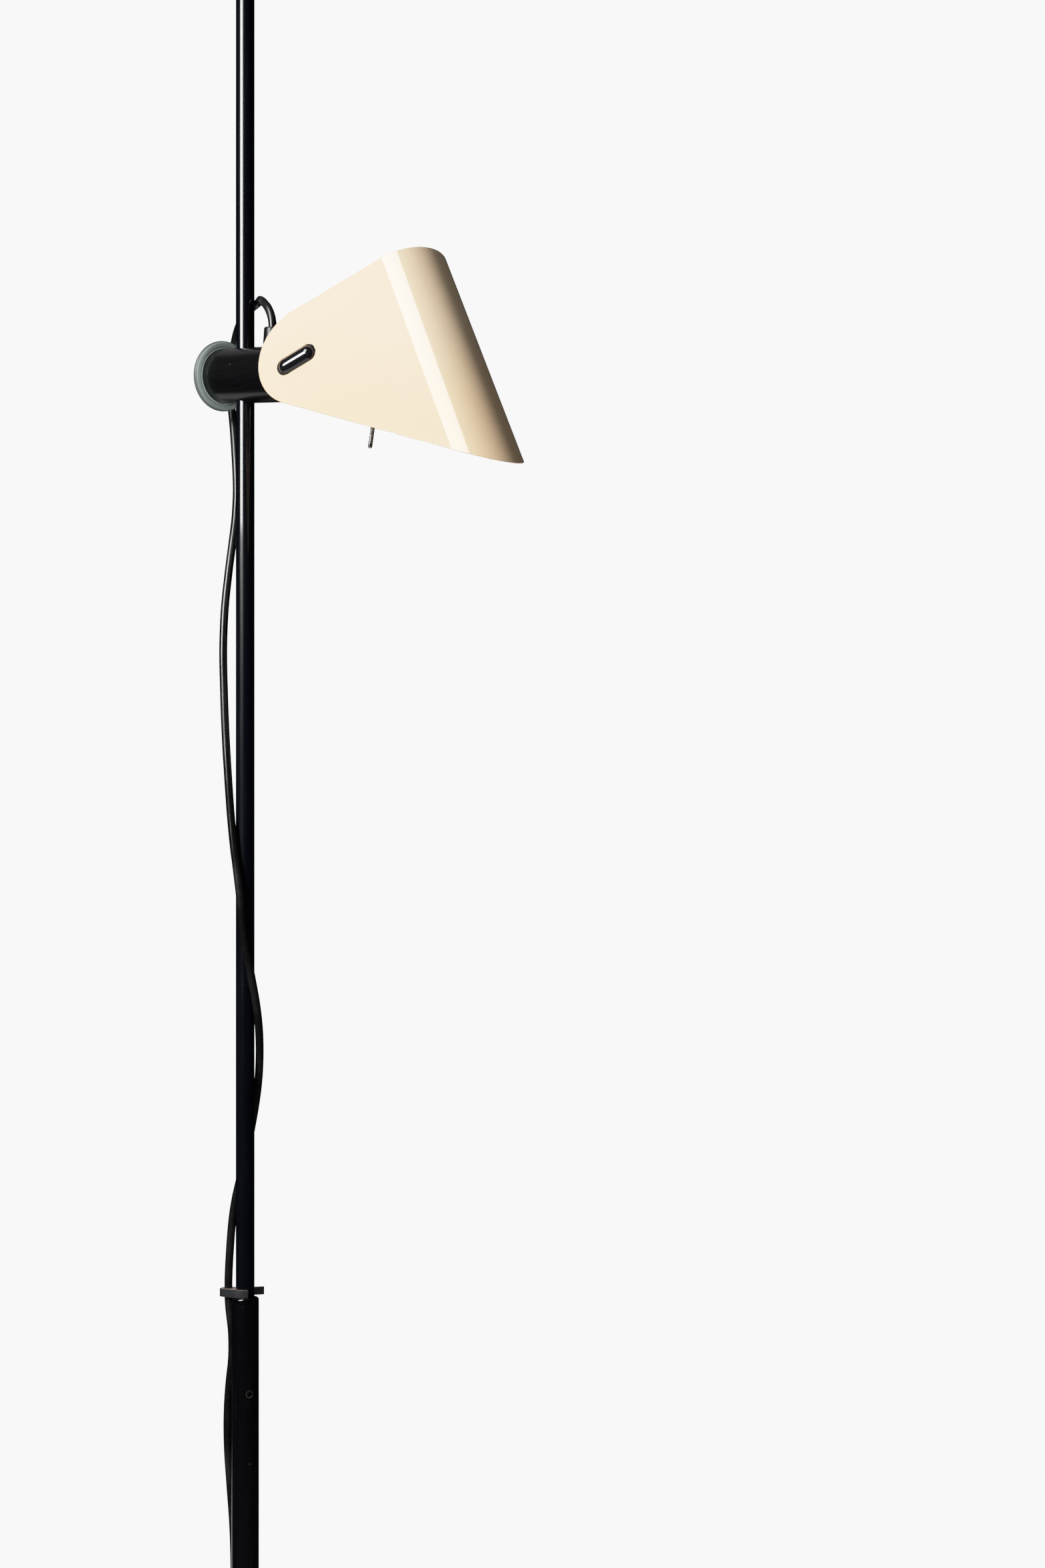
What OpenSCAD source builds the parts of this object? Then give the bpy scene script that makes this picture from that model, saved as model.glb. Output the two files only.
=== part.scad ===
// Tension pole lamp: a sprung pole between floor and ceiling with one sliding, turning lamp head.
// Millimetres, +Z up. The origin is the middle of the floor pad's lower face, and the arm points along +X.

/* [Pole] */
// Height of the whole lamp, floor to ceiling
overall_h = 2450; // [2300:5:2700]
// Outside diameter of the thick lower tube
lower_tube_d = 25; // [24:0.5:32]
// Wall of the lower tube
lower_tube_wall = 1.5; // [1:0.1:2]
// Height of the shoulder where the thin tube comes out
shoulder_z = 850; // [750:5:855]
// Outside diameter of the thin upper tube
upper_tube_d = 17; // [15:0.5:17]
// Wall of the upper tube
upper_tube_wall = 1.2; // [0.8:0.1:2]
// Height of the lower end of the upper tube
upper_tube_foot_z = 460; // [300:5:520]
// Length of the bush inside the lower tube
bush_l = 106; // [100:1:150]
// Height of the bush's collar on top of the tube
bush_collar_h = 4; // [3:0.5:8]
// Rounding of the bush's collar
bush_round = 2.6; // [1:0.1:3]
// Length of the guide ring on the foot of the upper tube
guide_l = 28; // [15:1:50]

/* [Floor end] */
// Diameter of the floor pad
floor_pad_d = 56; // [45:1:80]
// Height of the floor pad
floor_pad_h = 28; // [22:1:45]
// Rubber left around the tube at the top of a pad
pad_neck_wall = 4.5; // [3:0.5:8]
// Thickness of rubber under the tube
floor_pad_sole = 6; // [4:0.5:10]
// Length of the plug in the lower end of the tube
foot_plug_l = 22; // [12:1:40]

/* [Ceiling end] */
// Diameter of the ceiling pad
ceiling_pad_d = 50; // [40:1:70]
// Height of the ceiling pad
ceiling_pad_h = 24; // [18:1:40]
// Outside diameter of the spring housing
housing_d = 22; // [21:0.5:30]
// Wall of the spring housing
housing_wall = 1.8; // [1.2:0.1:2.4]
// Depth of the housing's socket over the upper tube
housing_socket_l = 30; // [20:1:50]
// Length of the spring chamber
chamber_l = 60; // [58:1:90]
// Diameter of the plunger rod
plunger_rod_d = 10; // [8:0.5:11]
// Travel of the plunger
plunger_travel = 25; // [10:1:27]
// Wire of the ceiling spring
spring_wire = 1.6; // [1:0.1:1.8]
// Curls of the ceiling spring
spring_curls = 8; // [5:1:9]

/* [Lock screw] */
// Height of the lock screw
lock_z = 763; // [757:1:800]
// Turn of the lock screw around the pole
lock_turn = -18; // [-90:1:90]
// Diameter of the lock screw
lock_d = 6; // [4:0.5:6.4]
// Diameter of its hole in the tube
lock_hole_d = 6.6; // [6.5:0.1:8]
// Key size of the lock screw
lock_key = 3; // [2:0.5:4]

/* [Cord clip] */
// Height of the clip
clip_h = 7.2; // [5:0.1:10]
// Rubber around the pole
clip_wall = 2.6; // [2:0.1:4]
// Rubber around the cord
clip_cord_wall = 4.2; // [3:0.1:6]
// Place of the cord in the clip, to the right of the pole and behind it
clip_cord_at = [-15.2, 7];
// Length of the lip behind the pole
clip_lip = 14; // [8:0.5:16]
// Slit that lets the cord in
clip_slit = 2.4; // [1.5:0.1:4]

/* [Arm] */
// Height where the arm's axis crosses the pole
arm_z = 1690; // [1685:1:1695]
// Droop of the arm
arm_droop = 6.5; // [5:0.5:8]
// Outside diameter of the arm tube
arm_d = 50; // [49:0.5:54]
// Wall of the arm tube
arm_wall = 1.5; // [1:0.1:2]
// Reach of the arm tube behind the pole
arm_back = 31.5; // [30:0.5:33]
// Reach of the arm tube in front of the pole
arm_front = 206; // [204:0.5:212]
// Outside diameter of the sleeve on the pole
sleeve_d = 19; // [18.6:0.1:20]
// Room between each end of the sleeve and the inside of the arm tube
sleeve_end_gap = 3.5; // [3:0.5:8]
// Gap around the pole in the wall of the arm tube
pole_hole_gap = 0.6; // [0.4:0.1:1]
// Length of the block in front of the pole
block_front = 25; // [20:1:26]
// Inset of the block in the back end of the arm tube
block_inset = 2.5; // [2:0.5:3]

/* [Clamp] */
// Diameter of the clamp disc
disc_d = 64; // [56:1:76]
// Thickness of the clamp disc
disc_t = 5.5; // [4:0.5:6]
// Rounding of the disc's rim
disc_round = 1.8; // [0.5:0.1:1.9]
// Gap between the disc and the arm tube
disc_gap = 0.4; // [0.3:0.1:0.8]
// Diameter of the clamp screw
clamp_screw_d = 8; // [6:0.5:9]
// Diameter of the pin at the screw's tip
clamp_pin_d = 5; // [4:0.5:5.5]
// Diameter of the saddle
saddle_d = 16; // [14:0.5:17]
// Distance from the pole to the back of the saddle
saddle_back = 18; // [16:0.5:18]
// Diameter of the threaded insert
insert_d = 20; // [18:0.5:24]
// Length of the threaded insert
insert_l = 8; // [6:0.5:8]
// Diameter of the screw's head
screw_head_d = 15; // [12:0.5:20]
// Height of the screw's head
screw_head_h = 3; // [2:0.5:4]

/* [Gland] */
// Distance from the pole to the gland
gland_at = 37.1; // [36:0.1:50]
// Diameter of the gland
gland_d = 15.5; // [14:0.5:20]
// Height of the gland above the arm
gland_h = 17; // [14:0.5:17]
// Diameter of the gland's thread
gland_thread_d = 12; // [10:0.5:13]
// Bevel around the gland's top
gland_edge = 1; // [0.5:0.1:2]

/* [Shade carrier] */
// Distance from the pole to the tilt axis
pivot_at = 178.5; // [178:0.5:180]
// Diameter of the crossbar
bar_d = 8; // [6:0.5:9]
// Diameter of the bar's bushes
bar_bush_d = 12; // [11:0.5:14]
// Length of a key, along the slot
key_l = 36; // [30:0.5:42]
// Width of a key
key_w = 15; // [10:0.5:16]
// Height of a key above the shade
key_proud = 5; // [3:0.5:6]
// Rim of the key's flange inside the shade
key_rim = 2.5; // [1.5:0.5:4]
// Thickness of the key's flange
key_flange_t = 2; // [1.5:0.5:3]
// Diameter of the hub that takes the bar
key_hub_d = 15; // [13:0.5:17]
// Length of the bar inside a hub
key_hub_grip = 12; // [8:0.5:14]

/* [Shade] */
// Thickness of the sheet
sheet_t = 1.2; // [0.8:0.1:1.6]
// Distance from the tilt axis to the outside of the fold
fold_reach = 116.6; // [112:0.2:125]
// Turn of the fold's normal above the arm
fold_turn = 34.9; // [30:0.1:40]
// Outside radius of the fold
fold_r = 39.7; // [36:0.1:44]
// Outward lean of each plate
plate_lean = 24; // [20:0.5:28]
// Rise of the top edge above the arm
top_edge_turn = 34.1; // [30:0.1:40]
// Fall of the bottom edge below the arm
bottom_edge_turn = 11.7; // [8:0.1:16]
// Radius of the rounded back corner
corner_r = 44; // [38:0.5:50]
// Middle of the back corner, in front of the tilt axis
corner_x = 8.3; // [4:0.1:14]
// Middle of the back corner, above the tilt axis
corner_z = 5.7; // [0:0.1:10]
// Gap beside a key in its slot
slot_side_gap = 0.25; // [0.1:0.05:0.5]
// Gap at each end of a key in its slot
slot_end_gap = 1.5; // [0.5:0.1:3]

/* [Lampholder and bulb] */
// Outside diameter of the lampholder in the arm
holder_d = 24.8; // [22:0.2:25]
// Length of the lampholder behind the arm's front end
holder_in = 16; // [14:0.5:18]
// Length of the lampholder's skirt
skirt_l = 18; // [14:0.5:20]
// Diameter of the lampholder's skirt
skirt_d = 29; // [27:0.5:34]
// Inside diameter of the lampholder
holder_bore_d = 15.4; // [15:0.1:17]
// Wall of the screw shell
shell_wall = 0.5; // [0.3:0.1:0.5]
// Diameter of the bulb's cap
cap_d = 13.7; // [13.4:0.1:14]
// Length of the bulb's cap
cap_l = 20; // [18:0.5:22]
// Diameter of the bulb's glass
globe_d = 45; // [40:1:50]
// Distance from the cap to the middle of the globe
globe_off = 29; // [27:0.5:33]

/* [Toggle] */
// Distance from the pole to the toggle
toggle_at = 194; // [193:0.5:195]
// Diameter of the toggle's bushing
toggle_bushing_d = 10; // [9:0.5:12]
// Reach of the bushing below the arm
toggle_bushing_h = 6; // [4:0.5:8]
// Reach of the lever's tip below the arm
lever_reach = 42; // [20:1:50]
// Diameter of the lever
lever_d = 3.6; // [3:0.1:4]
// Diameter of the lever's ball
lever_ball_d = 6.8; // [6:0.1:7]
// Lean of the lever at rest
lever_lean = 6.5; // [4:0.5:8]
// Length of the switch body along the arm
switch_l = 12.4; // [10:0.2:14]
// Width of the switch body
switch_w = 13; // [10:0.5:13]

/* [Cord] */
// Diameter of the cord
cord_d = 7.5; // [7:0.1:7.6]
// Sides of the cord's tube
cord_sides = 10; // [8:1:12]
// Turns of the coil in one layer
coil_turns = 3; // [2:1:3]
// Gap between turns and between layers
coil_gap = 0.6; // [0.5:0.1:0.7]
// Radius of the innermost turn
coil_inner_r = 30; // [26:0.5:32]
// Thickness of the tie's strap
tie_t = 1.2; // [0.8:0.1:1.2]
// Width of the tie's strap
tie_w = 9; // [6:0.5:14]

/* [Plug] */
// Length, width and height of the plug body
plug_size = [44, 35, 14];
// Length of the plug's tapered strain relief
plug_neck_l = 20; // [16:1:26]
// Diameter of a pin
plug_pin_d = 4; // [3.8:0.1:5]
// Length of a pin
plug_pin_l = 19; // [15:0.5:20]
// Distance between the pins
plug_pin_pitch = 18.6; // [17:0.1:20]

/* [Preview] */
// Which piece is drawn

/* [Hidden] */
slide_gap = 0.05;
still_gap = 0.3;
touch = 0.01;
$fn = 48;

// Colours as the photograph shows them
black_gloss = [0.05, 0.05, 0.07];
black_rubber = [0.1, 0.1, 0.11];
cream = [0.93, 0.88, 0.79];
pale_grey = [0.55, 0.57, 0.56];
nylon = [0.16, 0.16, 0.17];
brass = [0.75, 0.6, 0.3];
steel = [0.7, 0.7, 0.72];
glass = [0.95, 0.95, 0.93];
key_black = [0.07, 0.07, 0.08];

// Pole
lower_bore_d = lower_tube_d - 2 * lower_tube_wall;
lower_tube_top = shoulder_z - bush_collar_h;
bush_bore_d = upper_tube_d + 2 * slide_gap;
bush_bottom_z = lower_tube_top - bush_l;
foot_flange_t = 2;
lower_tube_foot = floor_pad_sole + foot_flange_t;

// Ceiling end, worked out from the ceiling down
ceiling_pad_bottom = overall_h - ceiling_pad_h;
ceiling_cap_t = 4;
ceiling_cap_spigot = 6;
housing_top = ceiling_pad_bottom - plunger_travel - ceiling_cap_t - 3;
housing_web = 4;
chamber_floor = housing_top - chamber_l;
upper_tube_top = chamber_floor - housing_web;
chamber_d = housing_d - 2 * housing_wall;
collar_t = 8;
collar_gap = 0.1;
collar_top = housing_top - ceiling_cap_spigot - collar_gap;
collar_bottom = collar_top - collar_t;
collar_d = chamber_d - 2 * still_gap;
plunger_head_d = 24;
plunger_head_t = 4;
plunger_head_z = overall_h - 12 - plunger_head_t;
spring_r = (chamber_d - 2 * still_gap - 2 - spring_wire) / 2;

// Arm
arm_bore_d = arm_d - 2 * arm_wall;
sleeve_l = arm_bore_d - 2 * sleeve_end_gap;
sleeve_bore_d = upper_tube_d + 2 * slide_gap;
block_bore_d = sleeve_d + 2 * slide_gap;
pole_hole_d = upper_tube_d + 2 * pole_hole_gap;
block_back = arm_back - block_inset;
disc_front = arm_back + disc_gap;
disc_back = disc_front + disc_t;
screw_shoulder = saddle_back + 0.1;
pin_l = 4;

// Fold of the shade, in a frame whose X is the fold's outward normal
fold_centre = fold_reach - fold_r;
arc_half = 90 - plate_lean;
plate_start = [fold_centre + fold_r * cos(arc_half), fold_r * sin(arc_half)];
half_width = plate_start[1] + plate_start[0] * tan(plate_lean);
// Lengths that are sure to pass the shade's outline
plate_l = 2.2 * fold_reach;
fold_l = 4 * fold_reach;
outline_reach = 2.8 * fold_reach;

// Lampholder and bulb
holder_back = arm_front - holder_in;
holder_front = arm_front + skirt_l;
contact_z = holder_back + 8;
contact_t = 1.6;
cap_back = contact_z + contact_t;
cap_tip = 1.4;
cap_front = cap_back + cap_tip + cap_l;
globe_z = cap_front + globe_off;
end_plug_t = 4.5;
switch_top = -holder_d / 2 - 0.6;
// Room under the holder for a switch body of this width
switch_h = sqrt(pow(arm_bore_d / 2 - 0.2, 2) - pow(switch_w / 2, 2)) + switch_top;

// Cord: ring centres, chosen by hand, as [right of the pole, behind the pole, height] seen by the camera
cord_view_turn = 53.6;
cord_points = [
    [23.7, -32.2, 1713.6], [24.2, -32.8, 1721], [24.6, -33.4, 1728], [23.6, -32.5, 1737],
    [20.6, -28.5, 1746], [16.5, -20, 1753], [13.8, -10.4, 1757], [13.4, 0, 1758.5],
    [10.6, 10.2, 1757.5], [4, 18.8, 1753.5], [-2.5, 27, 1747], [-6.8, 35, 1738.5],
    [-9.5, 42, 1729], [-12, 47.5, 1716], [-14, 50.5, 1700], [-14.6, 51, 1687],
    [-13.2, 48.5, 1673], [-11.5, 44.5, 1658], [-9.2, 36, 1626], [-7.7, 29, 1590],
    [-9, 23.5, 1562], [-11.6, 19.5, 1540],
    [-15, 16, 1513], [-18.6, 12, 1478], [-20, 8.5, 1440], [-19.2, 5.5, 1400],
    [-17.8, 2.5, 1363], [-15.7, -1.5, 1327], [-13.2, -5, 1291], [-10.5, -8.5, 1262],
    [-7.7, -10.5, 1240], [-4.4, -12.3, 1212], [-0.8, -13, 1175], [4.8, -12.5, 1146],
    [10, -9, 1117], [12.6, -4.5, 1093],
    [13.1, 0.5, 1068], [11.8, 5.5, 1044], [8.6, 9.8, 1020], [4.6, 12.3, 998],
    [0.2, 13, 978], [-4.5, 12.4, 957], [-8.8, 10.8, 938], [-11.8, 9.3, 918],
    [-14, 8, 890], [-15.1, 7.2, 868], [-15.2, 7, 853.6],
    [-15.1, 7.2, 848.5], [-14.4, 8.8, 838], [-12, 12.2, 815], [-12, 12.4, 792], [-14.5, 10.5, 768],
    [-16, 9.2, 742], [-15.8, 9.4, 712], [-13.5, 11.5, 676], [-11, 14, 640],
    [-9.8, 15.2, 600], [-9.5, 15.5, 540], [-9.5, 15.8, 470], [-9.8, 16, 400],
    [-10, 16.3, 330], [-10.2, 16.5, 260], [-10.4, 17, 195], [-10.8, 18, 140],
    [-11.6, 20, 100], [-13.5, 24, 68], [-21.7, 31.2, 43], [-32.7, 39.3, 25],
    [-45.2, 48.7, 12.5], [-57.9, 59.2, 6.6], [-68, 69.1, 5]];
// Last rings of the runs to the upper split, the lower split and the clip
top_end = 21;
mid_end = 35;
low_end = 46;

// Coil: two layers of turns lying on the floor
coil_at = [-118, 40];
coil_pitch = cord_d + coil_gap;
coil_outer_r = coil_inner_r + (coil_turns + 0.25) * coil_pitch;
coil_z = tie_t + touch + cord_d / 2;
coil_rings = 24;
lead_l = 10;
tail_l = 46;
plug_z = plug_size[2] / 2;
coil_end_y = coil_at[1] + coil_outer_r;
plug_back_x = coil_at[0] + tail_l;

function unit(v) = v / norm(v);

// Turns a point that is given as the camera sees it into the part's frame
function seen(p) = [p[0] * cos(cord_view_turn) - p[1] * sin(cord_view_turn),
    p[0] * sin(cord_view_turn) + p[1] * cos(cord_view_turn), p[2]];

// Direction of travel at each ring centre
function headings(p) = [for (i = [0:len(p) - 1])
    unit(p[min(i + 1, len(p) - 1)] - p[max(i - 1, 0)])];

// One side direction of the section, carried along the path without twist
function carried(t, first) = [for (i = 0, u = unit(first - (first * t[0]) * t[0]); i < len(t);
    i = i + 1, u = i < len(t) ? unit(u - (u * t[i]) * t[i]) : u) u];

// Radius, rise and place after n turns: the spiral reverses at coil_mid, where it also climbs a layer
coil_mid = coil_turns + 0.25;
function coil_radius(n) = coil_inner_r + coil_pitch * abs(n - coil_mid);
function coil_rise(n) = coil_pitch * (1 - cos(180 * min(max((n - coil_turns) * 2, 0), 1))) / 2;
function coil_point(n) = [coil_at[0] + coil_radius(n) * cos(-90 - 360 * n),
    coil_at[1] + coil_radius(n) * sin(-90 - 360 * n), coil_z + coil_rise(n)];

coil_start = [coil_at[0] + lead_l, coil_at[1] - coil_outer_r, coil_z];
coil_steps = (2 * coil_turns + 0.5) * coil_rings;
coil_path = concat([coil_start], [for (i = [0:coil_steps]) coil_point(i / coil_rings)],
    [for (k = [0.35, 0.7, 1]) [coil_at[0] + tail_l * k, coil_end_y,
        plug_z + (coil_z + coil_pitch - plug_z) * (1 + cos(180 * min((k - 0.1) / 0.6, 1))) / 2]],
    [[plug_back_x + cord_d, coil_end_y, plug_z]]);
cord_path = concat([for (p = cord_points) seen(p)], [coil_start]);

// Least clear distance between parts of the coil half a turn or more apart
coil_least = min([for (i = [0:len(coil_path) - 1 - coil_rings / 2])
    for (j = [i + coil_rings / 2:len(coil_path) - 1]) norm(coil_path[i] - coil_path[j])]) - cord_d;
echo(coil_least_gap = coil_least);

// Lengths of the cord's runs
function run_length(p, i0, i1) = i0 >= i1 ? 0 : norm(p[i0 + 1] - p[i0]) + run_length(p, i0 + 1, i1);
echo(cord_top_l = run_length(cord_path, 0, top_end), cord_mid_l = run_length(cord_path, top_end, mid_end),
    cord_low_l = run_length(cord_path, mid_end, low_end),
    cord_floor_l = run_length(cord_path, low_end, len(cord_path) - 1),
    cord_coil_l = run_length(coil_path, 0, len(coil_path) - 1));

// Round tube through the rings i0 to i1 of a path
module swept_tube(path, d, sides, i0, i1, first = [1, 0, 0]) {
    t = headings(path);
    u = carried(t, first);
    rings = i1 - i0 + 1;
    points = [for (i = [i0:i1]) for (k = [0:sides - 1])
        path[i] + d / 2 * (cos(k * 360 / sides) * u[i] + sin(k * 360 / sides) * cross(t[i], u[i]))];
    skin = [for (i = [0:rings - 2]) for (k = [0:sides - 1]) for (f = [0, 1])
        let (a = i * sides + k, b = i * sides + (k + 1) % sides)
        f == 0 ? [a, b + sides, b] : [a, a + sides, b + sides]];
    near = [for (k = [1:sides - 2]) [0, k, k + 1]];
    last = (rings - 1) * sides;
    far = [for (k = [1:sides - 2]) [last, last + k + 1, last + k]];
    polyhedron(points = points, faces = concat(skin, near, far));
}

// Ring or disc about Z between two heights
module ring(d_out, d_in, z0, z1) {
    translate([0, 0, z0])
        difference() {
            cylinder(d = d_out, h = z1 - z0);
            if (d_in > 0)
                translate([0, 0, -1])
                    cylinder(d = d_in, h = z1 - z0 + 2);
        }
}

// Places a shape in the arm's frame, with X along the arm
module in_arm() {
    translate([0, 0, arm_z])
        rotate([0, arm_droop, 0])
            children();
}

// Turns a shape about Z into one about the arm's axis
module about_arm() {
    rotate([0, 90, 0])
        children();
}

// Cylinder about Z where the pole crosses the arm
module pole_bore(d) {
    translate([0, 0, arm_z - arm_d])
        cylinder(d = d, h = 2 * arm_d);
}

// Flat capsule of a given length, width and height, lying along X on z = 0
module capsule_prism(l, w, h) {
    for (side = [-1, 1])
        translate([side * (l - w) / 2, 0, 0])
            cylinder(d = w, h = h);
    translate([-(l - w) / 2, -w / 2, 0])
        cube([l - w, w, h]);
}

// Profile of a rubber end: a broad lip that sweeps in to a neck
module pad_profile(foot_r, neck_r, h) {
    lip = 5;
    sweep = h - 6;
    polygon(concat([[0, 0], [foot_r - 1.5, 0], [foot_r, 1.5]],
        [for (t = [0:15:90]) [neck_r + (foot_r - neck_r) * (1 - sin(t)), sweep - (sweep - lip) * cos(t)]],
        [[neck_r, h - 1.5], [neck_r - 1.5, h], [0, h]]));
}

module floor_pad() {
    color(black_rubber)
        difference() {
            rotate_extrude()
                pad_profile(floor_pad_d / 2, lower_tube_d / 2 + pad_neck_wall, floor_pad_h);
            translate([0, 0, floor_pad_sole])
                cylinder(d = lower_tube_d, h = floor_pad_h);
        }
}

module foot_plug() {
    color(nylon) {
        translate([0, 0, floor_pad_sole])
            cylinder(d = lower_tube_d, h = foot_flange_t);
        translate([0, 0, lower_tube_foot])
            cylinder(d = lower_bore_d, h = foot_plug_l);
    }
}

// Hole for the lock screw, out through the side of the pole
module lock_bore(d, r0, r1) {
    translate([0, 0, lock_z])
        rotate([0, 0, lock_turn])
            translate([r0, 0, 0])
                rotate([0, 90, 0])
                    cylinder(d = d, h = r1 - r0);
}

module lower_tube() {
    color(black_gloss)
        difference() {
            ring(lower_tube_d, lower_bore_d, lower_tube_foot, lower_tube_top);
            lock_bore(lock_hole_d, 0, lower_tube_d);
        }
}

module tube_bush() {
    collar_r = lower_tube_d / 2;
    color(nylon)
        difference() {
            union() {
                translate([0, 0, bush_bottom_z])
                    cylinder(d = lower_bore_d, h = bush_l);
                translate([0, 0, lower_tube_top])
                    rotate_extrude()
                        polygon(concat([[0, 0], [collar_r, 0]],
                            [for (t = [0:15:90]) [collar_r - bush_round * (1 - cos(t)),
                                bush_collar_h - bush_round * (1 - sin(t))]],
                            [[0, bush_collar_h]]));
            }
            translate([0, 0, bush_bottom_z - 1])
                cylinder(d = bush_bore_d, h = bush_l + bush_collar_h + 2);
            lock_bore(lock_d + 2 * slide_gap, 0, lower_tube_d);
        }
}

module lock_screw() {
    inner = upper_tube_d / 2 + slide_gap;
    outer = lower_tube_d / 2 - 0.3;
    color(steel)
        difference() {
            lock_bore(lock_d, inner, outer);
            translate([0, 0, lock_z])
                rotate([0, 0, lock_turn])
                    translate([outer - 2, 0, 0])
                        rotate([0, 90, 0])
                            cylinder(d = lock_key / cos(30), h = 3, $fn = 6);
        }
}

module clip_profile() {
    grip_r = upper_tube_d / 2 + clip_wall;
    bore_r = upper_tube_d / 2 + 2 * slide_gap;
    difference() {
        hull() {
            circle(r = grip_r);
            translate(clip_cord_at)
                circle(r = cord_d / 2 + clip_cord_wall);
        }
        circle(r = bore_r);
        translate(clip_cord_at)
            circle(d = cord_d + 4 * slide_gap);
        translate(clip_cord_at)
            rotate(155)
                translate([0, -clip_slit / 2])
                    square([30, clip_slit]);
        polygon([[0, 0], [6, -24], [30, -24], [30, 24], [24, 24]]);
    }
    // Open lip behind the pole, by which the clip is pulled off
    difference() {
        rotate(14)
            translate([6, bore_r - 0.4])
                square([clip_lip, clip_wall]);
        circle(r = bore_r);
    }
}

module cord_clip() {
    color(black_rubber)
        translate([0, 0, shoulder_z])
            rotate([0, 0, cord_view_turn])
                linear_extrude(clip_h)
                    clip_profile();
}

module upper_tube() {
    color(black_gloss)
        ring(upper_tube_d, upper_tube_d - 2 * upper_tube_wall, upper_tube_foot_z, upper_tube_top);
}

module tube_guide() {
    lip = 6;
    color(nylon)
        difference() {
            translate([0, 0, upper_tube_foot_z - lip])
                cylinder(d = lower_bore_d - 2 * slide_gap, h = guide_l);
            translate([0, 0, upper_tube_foot_z])
                cylinder(d = upper_tube_d, h = guide_l);
            translate([0, 0, upper_tube_foot_z - lip - 1])
                cylinder(d = upper_tube_d - 2 * upper_tube_wall, h = guide_l);
        }
}

module ceiling_housing() {
    color(black_gloss)
        difference() {
            translate([0, 0, upper_tube_top - housing_socket_l])
                cylinder(d = housing_d, h = housing_top - upper_tube_top + housing_socket_l);
            translate([0, 0, upper_tube_top - housing_socket_l - 1])
                cylinder(d = upper_tube_d, h = housing_socket_l + 1);
            translate([0, 0, chamber_floor])
                cylinder(d = chamber_d, h = chamber_l + 1);
        }
}

module ceiling_cap() {
    color(nylon)
        difference() {
            union() {
                translate([0, 0, housing_top])
                    cylinder(d = housing_d, h = ceiling_cap_t);
                translate([0, 0, housing_top - ceiling_cap_spigot])
                    cylinder(d = chamber_d, h = ceiling_cap_spigot);
            }
            translate([0, 0, housing_top - ceiling_cap_spigot - 1])
                cylinder(d = plunger_rod_d + 2 * slide_gap, h = ceiling_cap_spigot + ceiling_cap_t + 2);
        }
}

module ceiling_spring() {
    z0 = chamber_floor + spring_wire / 2 + touch;
    z1 = collar_bottom - spring_wire / 2 - touch;
    steps = 8 * spring_curls;
    path = [for (i = [0:steps]) [spring_r * cos(45 * i), spring_r * sin(45 * i), z0 + (z1 - z0) * i / steps]];
    color(steel)
        swept_tube(path, spring_wire, 6, 0, steps, [0, 0, 1]);
}

module ceiling_plunger() {
    color(steel) {
        translate([0, 0, collar_bottom])
            cylinder(d = collar_d, h = collar_t);
        translate([0, 0, collar_top])
            cylinder(d = plunger_rod_d, h = plunger_head_z - collar_top);
        translate([0, 0, plunger_head_z])
            cylinder(d = plunger_head_d, h = plunger_head_t);
    }
}

module ceiling_pad() {
    color(black_rubber)
        difference() {
            translate([0, 0, overall_h])
                mirror([0, 0, 1])
                    rotate_extrude()
                        pad_profile(ceiling_pad_d / 2, plunger_head_d / 2 + pad_neck_wall / 2, ceiling_pad_h);
            translate([0, 0, ceiling_pad_bottom - 1])
                cylinder(d = plunger_rod_d, h = plunger_head_z - ceiling_pad_bottom + 1 + touch);
            translate([0, 0, plunger_head_z])
                cylinder(d = plunger_head_d, h = plunger_head_t);
        }
}

module pole_sleeve() {
    color(nylon)
        ring(sleeve_d, sleeve_bore_d, arm_z - sleeve_l / 2, arm_z + sleeve_l / 2);
}

module arm_tube() {
    color(black_gloss)
        difference() {
            in_arm()
                about_arm()
                    ring(arm_d, arm_bore_d, -arm_back, arm_front);
            pole_bore(pole_hole_d);
            in_arm() {
                translate([gland_at, 0, 0])
                    cylinder(d = gland_thread_d, h = arm_d);
                translate([toggle_at, 0, -arm_d])
                    cylinder(d = toggle_bushing_d, h = arm_d);
                translate([pivot_at, arm_d, 0])
                    rotate([90, 0, 0])
                        cylinder(d = bar_bush_d, h = 2 * arm_d);
            }
        }
}

module pole_block() {
    color(nylon)
        difference() {
            in_arm()
                about_arm()
                    ring(arm_bore_d, 0, -block_back, block_front);
            pole_bore(block_bore_d);
            in_arm()
                about_arm() {
                    translate([0, 0, -block_back - 1])
                        cylinder(d = insert_d, h = insert_l + 1);
                    translate([0, 0, -block_back])
                        cylinder(d = saddle_d + 2 * slide_gap, h = block_back);
                }
        }
}

module clamp_nut() {
    color(brass)
        in_arm()
            about_arm()
                ring(insert_d, clamp_screw_d + 2 * slide_gap, -block_back, -block_back + insert_l);
}

module clamp_saddle() {
    color(brass)
        difference() {
            in_arm()
                about_arm()
                    ring(saddle_d, 0, -saddle_back, 0);
            pole_bore(sleeve_d + 2 * slide_gap);
            in_arm()
                about_arm()
                    translate([0, 0, -saddle_back - 1])
                        cylinder(d = clamp_pin_d + 2 * slide_gap, h = pin_l + 1.5);
        }
}

module clamp_screw() {
    color(steel)
        in_arm()
            about_arm() {
                translate([0, 0, -disc_back - screw_head_h])
                    cylinder(d1 = screw_head_d - 2, d2 = screw_head_d, h = screw_head_h);
                translate([0, 0, -disc_back])
                    cylinder(d = clamp_screw_d, h = disc_back - screw_shoulder);
                translate([0, 0, -screw_shoulder])
                    cylinder(d = clamp_pin_d, h = pin_l);
            }
}

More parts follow.
